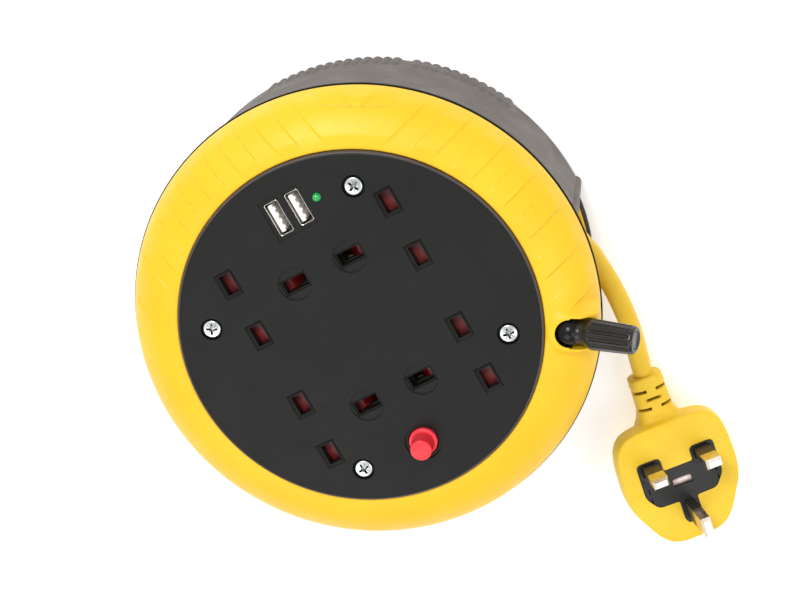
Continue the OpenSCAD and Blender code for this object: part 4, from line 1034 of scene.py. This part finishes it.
def coil(name, radius, wire, length_, turns, n_seg=28, sides=10):
    """Closed-end compression spring along Z from 0 to length_, as a mesh tube"""
    pts = []
    total = int(turns * n_seg)
    for i in range(total + 1):
        f = i / total
        a = f * turns * 2 * math.pi
        g = min(max((f * turns - 0.8) / (turns - 1.6), 0), 1)
        z = wire + (length_ - 2 * wire) * g * g * (3 - 2 * g) * 0.35 + (length_ - 2 * wire) * g * 0.65
        pts.append((radius * math.cos(a), radius * math.sin(a), z))
    P = np.array(pts)
    T = np.gradient(P, axis=0)
    T /= np.linalg.norm(T, axis=1)[:, None]
    R = P * np.array([1, 1, 0])
    R /= np.linalg.norm(R, axis=1)[:, None]
    B = np.cross(T, R)
    B /= np.linalg.norm(B, axis=1)[:, None]
    R = np.cross(B, T)
    b = np.arange(sides) * 2 * math.pi / sides
    Q = P[:, None, :] + wire * (R[:, None, :] * np.cos(b)[None, :, None] + B[:, None, :] * np.sin(b)[None, :, None])
    ob = rings(name, Q, P[0], P[-1], angle=60)
    outward(ob)
    return ob


spring = coil("reset_coil", 3.2, 0.34, 4.7, 4.6)
spring.data.transform(Matrix.Translation((0, -0.0488, 0.0715)))
settle(spring, MAT["steel"], "drum", "steel", "reset_spring")
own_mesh(spring)
for tag, sx, sy in (("a", 1, 1), ("b", -1, 1), ("c", 1, -1), ("d", -1, -1)):
    s = coil(f"shutter_coil_{tag}", 1.2, 0.17, 8.7, 8.5, n_seg=20, sides=8)
    m = Matrix.Translation((sx * 0.03384, sy * 0.02649, 0)) @ Matrix.Rotation(math.pi if sx > 0 else 0, 4, "Z")
    m = m @ Matrix.Translation((0.00675, 0, 0.07095)) @ Matrix.Rotation(rad(90), 4, "Y")
    s.data.transform(m)
    settle(s, MAT["steel"], "drum", "steel", f"shutter_spring_{tag}")
    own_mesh(s)

# ------------------------------------------------------------------ USB ports

def rr_loop(hx, hy, r, n=64):
    return even(rounded([(-hx, -hy), (hx, -hy), (hx, hy), (-hx, hy)], r, 8), n)


shells, tongues, contacts = [], [], []
for s in (-1, 1):
    rows = []
    for hx, hy, r, z in ((2.85, 6.55, 0.7, 63.6), (2.85, 6.55, 0.7, 77.35), (2.80, 6.50, 0.66, 77.55), (2.70, 6.40, 0.6, 77.62),
                         (2.58, 6.28, 0.5, 77.55), (2.52, 6.22, 0.45, 77.35), (2.50, 6.2, 0.42, 76.9), (2.5, 6.2, 0.42, 64.0)):
        lp = rr_loop(hx, hy, r)
        rows.append(np.c_[lp, np.full(len(lp), z)])
    sh = rings(f"shell{s}", np.array(rows), (0, 0, 63.6), (0, 0, 64.0), angle=40)
    outward(sh)
    sh.data.transform(Matrix.Translation((s * 0.0043, 0.0508, 0)))
    shells.append(sh)
    rows = []
    for g, z in ((0.0, 65.9), (0.0, 76.45), (0.05, 76.72), (0.16, 76.86), (0.3, 76.9)):
        lp = even(rounded([(-1.9 + g, -5.5 + g), (-0.1 - g, -5.5 + g), (-0.1 - g, 5.5 - g), (-1.9 + g, 5.5 - g)], 0.35, 5), 56)
        rows.append(np.c_[lp, np.full(len(lp), z)])
    tg = rings(f"tongue{s}", np.array(rows), (-1, 0, 65.9), (-1, 0, 76.9), angle=40)
    outward(tg)
    base = box_mesh(f"base{s}", -2.45, 2.45, -6.15, 6.15, 64.05, 66.0)
    for o in (tg, base):
        o.data.transform(Matrix.Translation((s * 0.0043, 0.0508, 0)))
        tongues.append(o)
    for yc in (-3.75, -1.15, 1.25, 3.75):
        rows = []
        for x0, x1, hw_, z in ((-0.12, 0.08, 0.5, 66.0), (-0.12, 0.12, 0.5, 74.6), (-0.12, 0.42, 0.62, 75.6), (-0.12, 0.5, 0.66, 76.2),
                               (-0.12, 0.44, 0.62, 76.6), (-0.1, 0.22, 0.5, 76.82)):
            lp = even(rounded([(x0, yc - hw_), (x1, yc - hw_), (x1, yc + hw_), (x0, yc + hw_)], 0.16, 4), 32)
            rows.append(np.c_[lp, np.full(len(lp), z)])
        ct = rings(f"contact{s}{yc}", np.array(rows), (0, yc, 66.0), (0, yc, 76.84), angle=50)
        outward(ct)
        ct.data.transform(Matrix.Translation((s * 0.0043, 0.0508, 0)))
        contacts.append(ct)
usb_shell = shade(joined("usb_port_shells", shells), 40)
settle(usb_shell, MAT["nickel"], "drum", "nickel", "usb_shells")
usb_tongue = shade(joined("usb_port_tongues", tongues), 40)
settle(usb_tongue, MAT["usb_white"], "drum", "usb_white", "usb_tongues")
usb_contact = shade(joined("usb_port_contacts", contacts), 50)
settle(usb_contact, MAT["usb_white"], "drum", "usb_white")

# ------------------------------------------------------------------ floor, world and light

me = bpy.data.meshes.new("floor")
bm = bmesh.new()
bmesh.ops.create_grid(bm, x_segments=24, y_segments=24, size=3.0)
bm.to_mesh(me)
bm.free()
floor = bpy.data.objects.new("floor", me)
bpy.context.scene.collection.objects.link(floor)
floor.location = (0, 0, -0.00005)
m, nt, b = new_mat("floor_white")
co = nt.nodes.new("ShaderNodeTexCoord").outputs["Object"]
nt.links.new(blend_col(nt, noise(nt, co, 3, 3, 0.5), (0.93, 0.93, 0.93, 1), (0.95, 0.95, 0.95, 1)), b.inputs["Base Color"])
nt.links.new(remap(nt, noise(nt, co, 14, 4, 0.5), 0.3, 0.7, 0.82, 0.92), b.inputs["Roughness"])
b.inputs["Specular IOR Level"].default_value = 0.15
b.inputs["Emission Color"].default_value = (1, 1, 1, 1)
b.inputs["Emission Strength"].default_value = 0.32
me.materials.append(m)

world = bpy.data.worlds.new("studio")
bpy.context.scene.world = world
world.use_nodes = True
bg = world.node_tree.nodes["Background"]
bg.inputs["Color"].default_value = (1, 1, 1, 1)
bg.inputs["Strength"].default_value = 0.64


def area(name, where, target, size, power, size_y=None):
    li = bpy.data.lights.new(name, "AREA")
    li.shape = "RECTANGLE"
    li.size = size
    li.size_y = size_y or size
    li.energy = power
    ob = bpy.data.objects.new(name, li)
    bpy.context.scene.collection.objects.link(ob)
    ob.location = where
    d = Vector(target) - Vector(where)
    ob.rotation_euler = d.to_track_quat("-Z", "Y").to_euler()
    return ob


# photo-up is about 63 degrees round from +X; the key stands on that side, high up
area("key", (0.10, 0.78, 1.12), (0, 0, 0.05), 0.42, 9.5)
area("fill", (-0.62, -0.42, 1.05), (0, 0, 0.05), 0.8, 3.6)
area("side", (0.62, -0.62, 1.15), (0.04, -0.08, 0.03), 0.8, 4.2)

sc = bpy.context.scene
sc.view_settings.view_transform = "Standard"
sc.view_settings.look = "None"
sc.view_settings.exposure = 0.0
sc.view_settings.gamma = 1.0
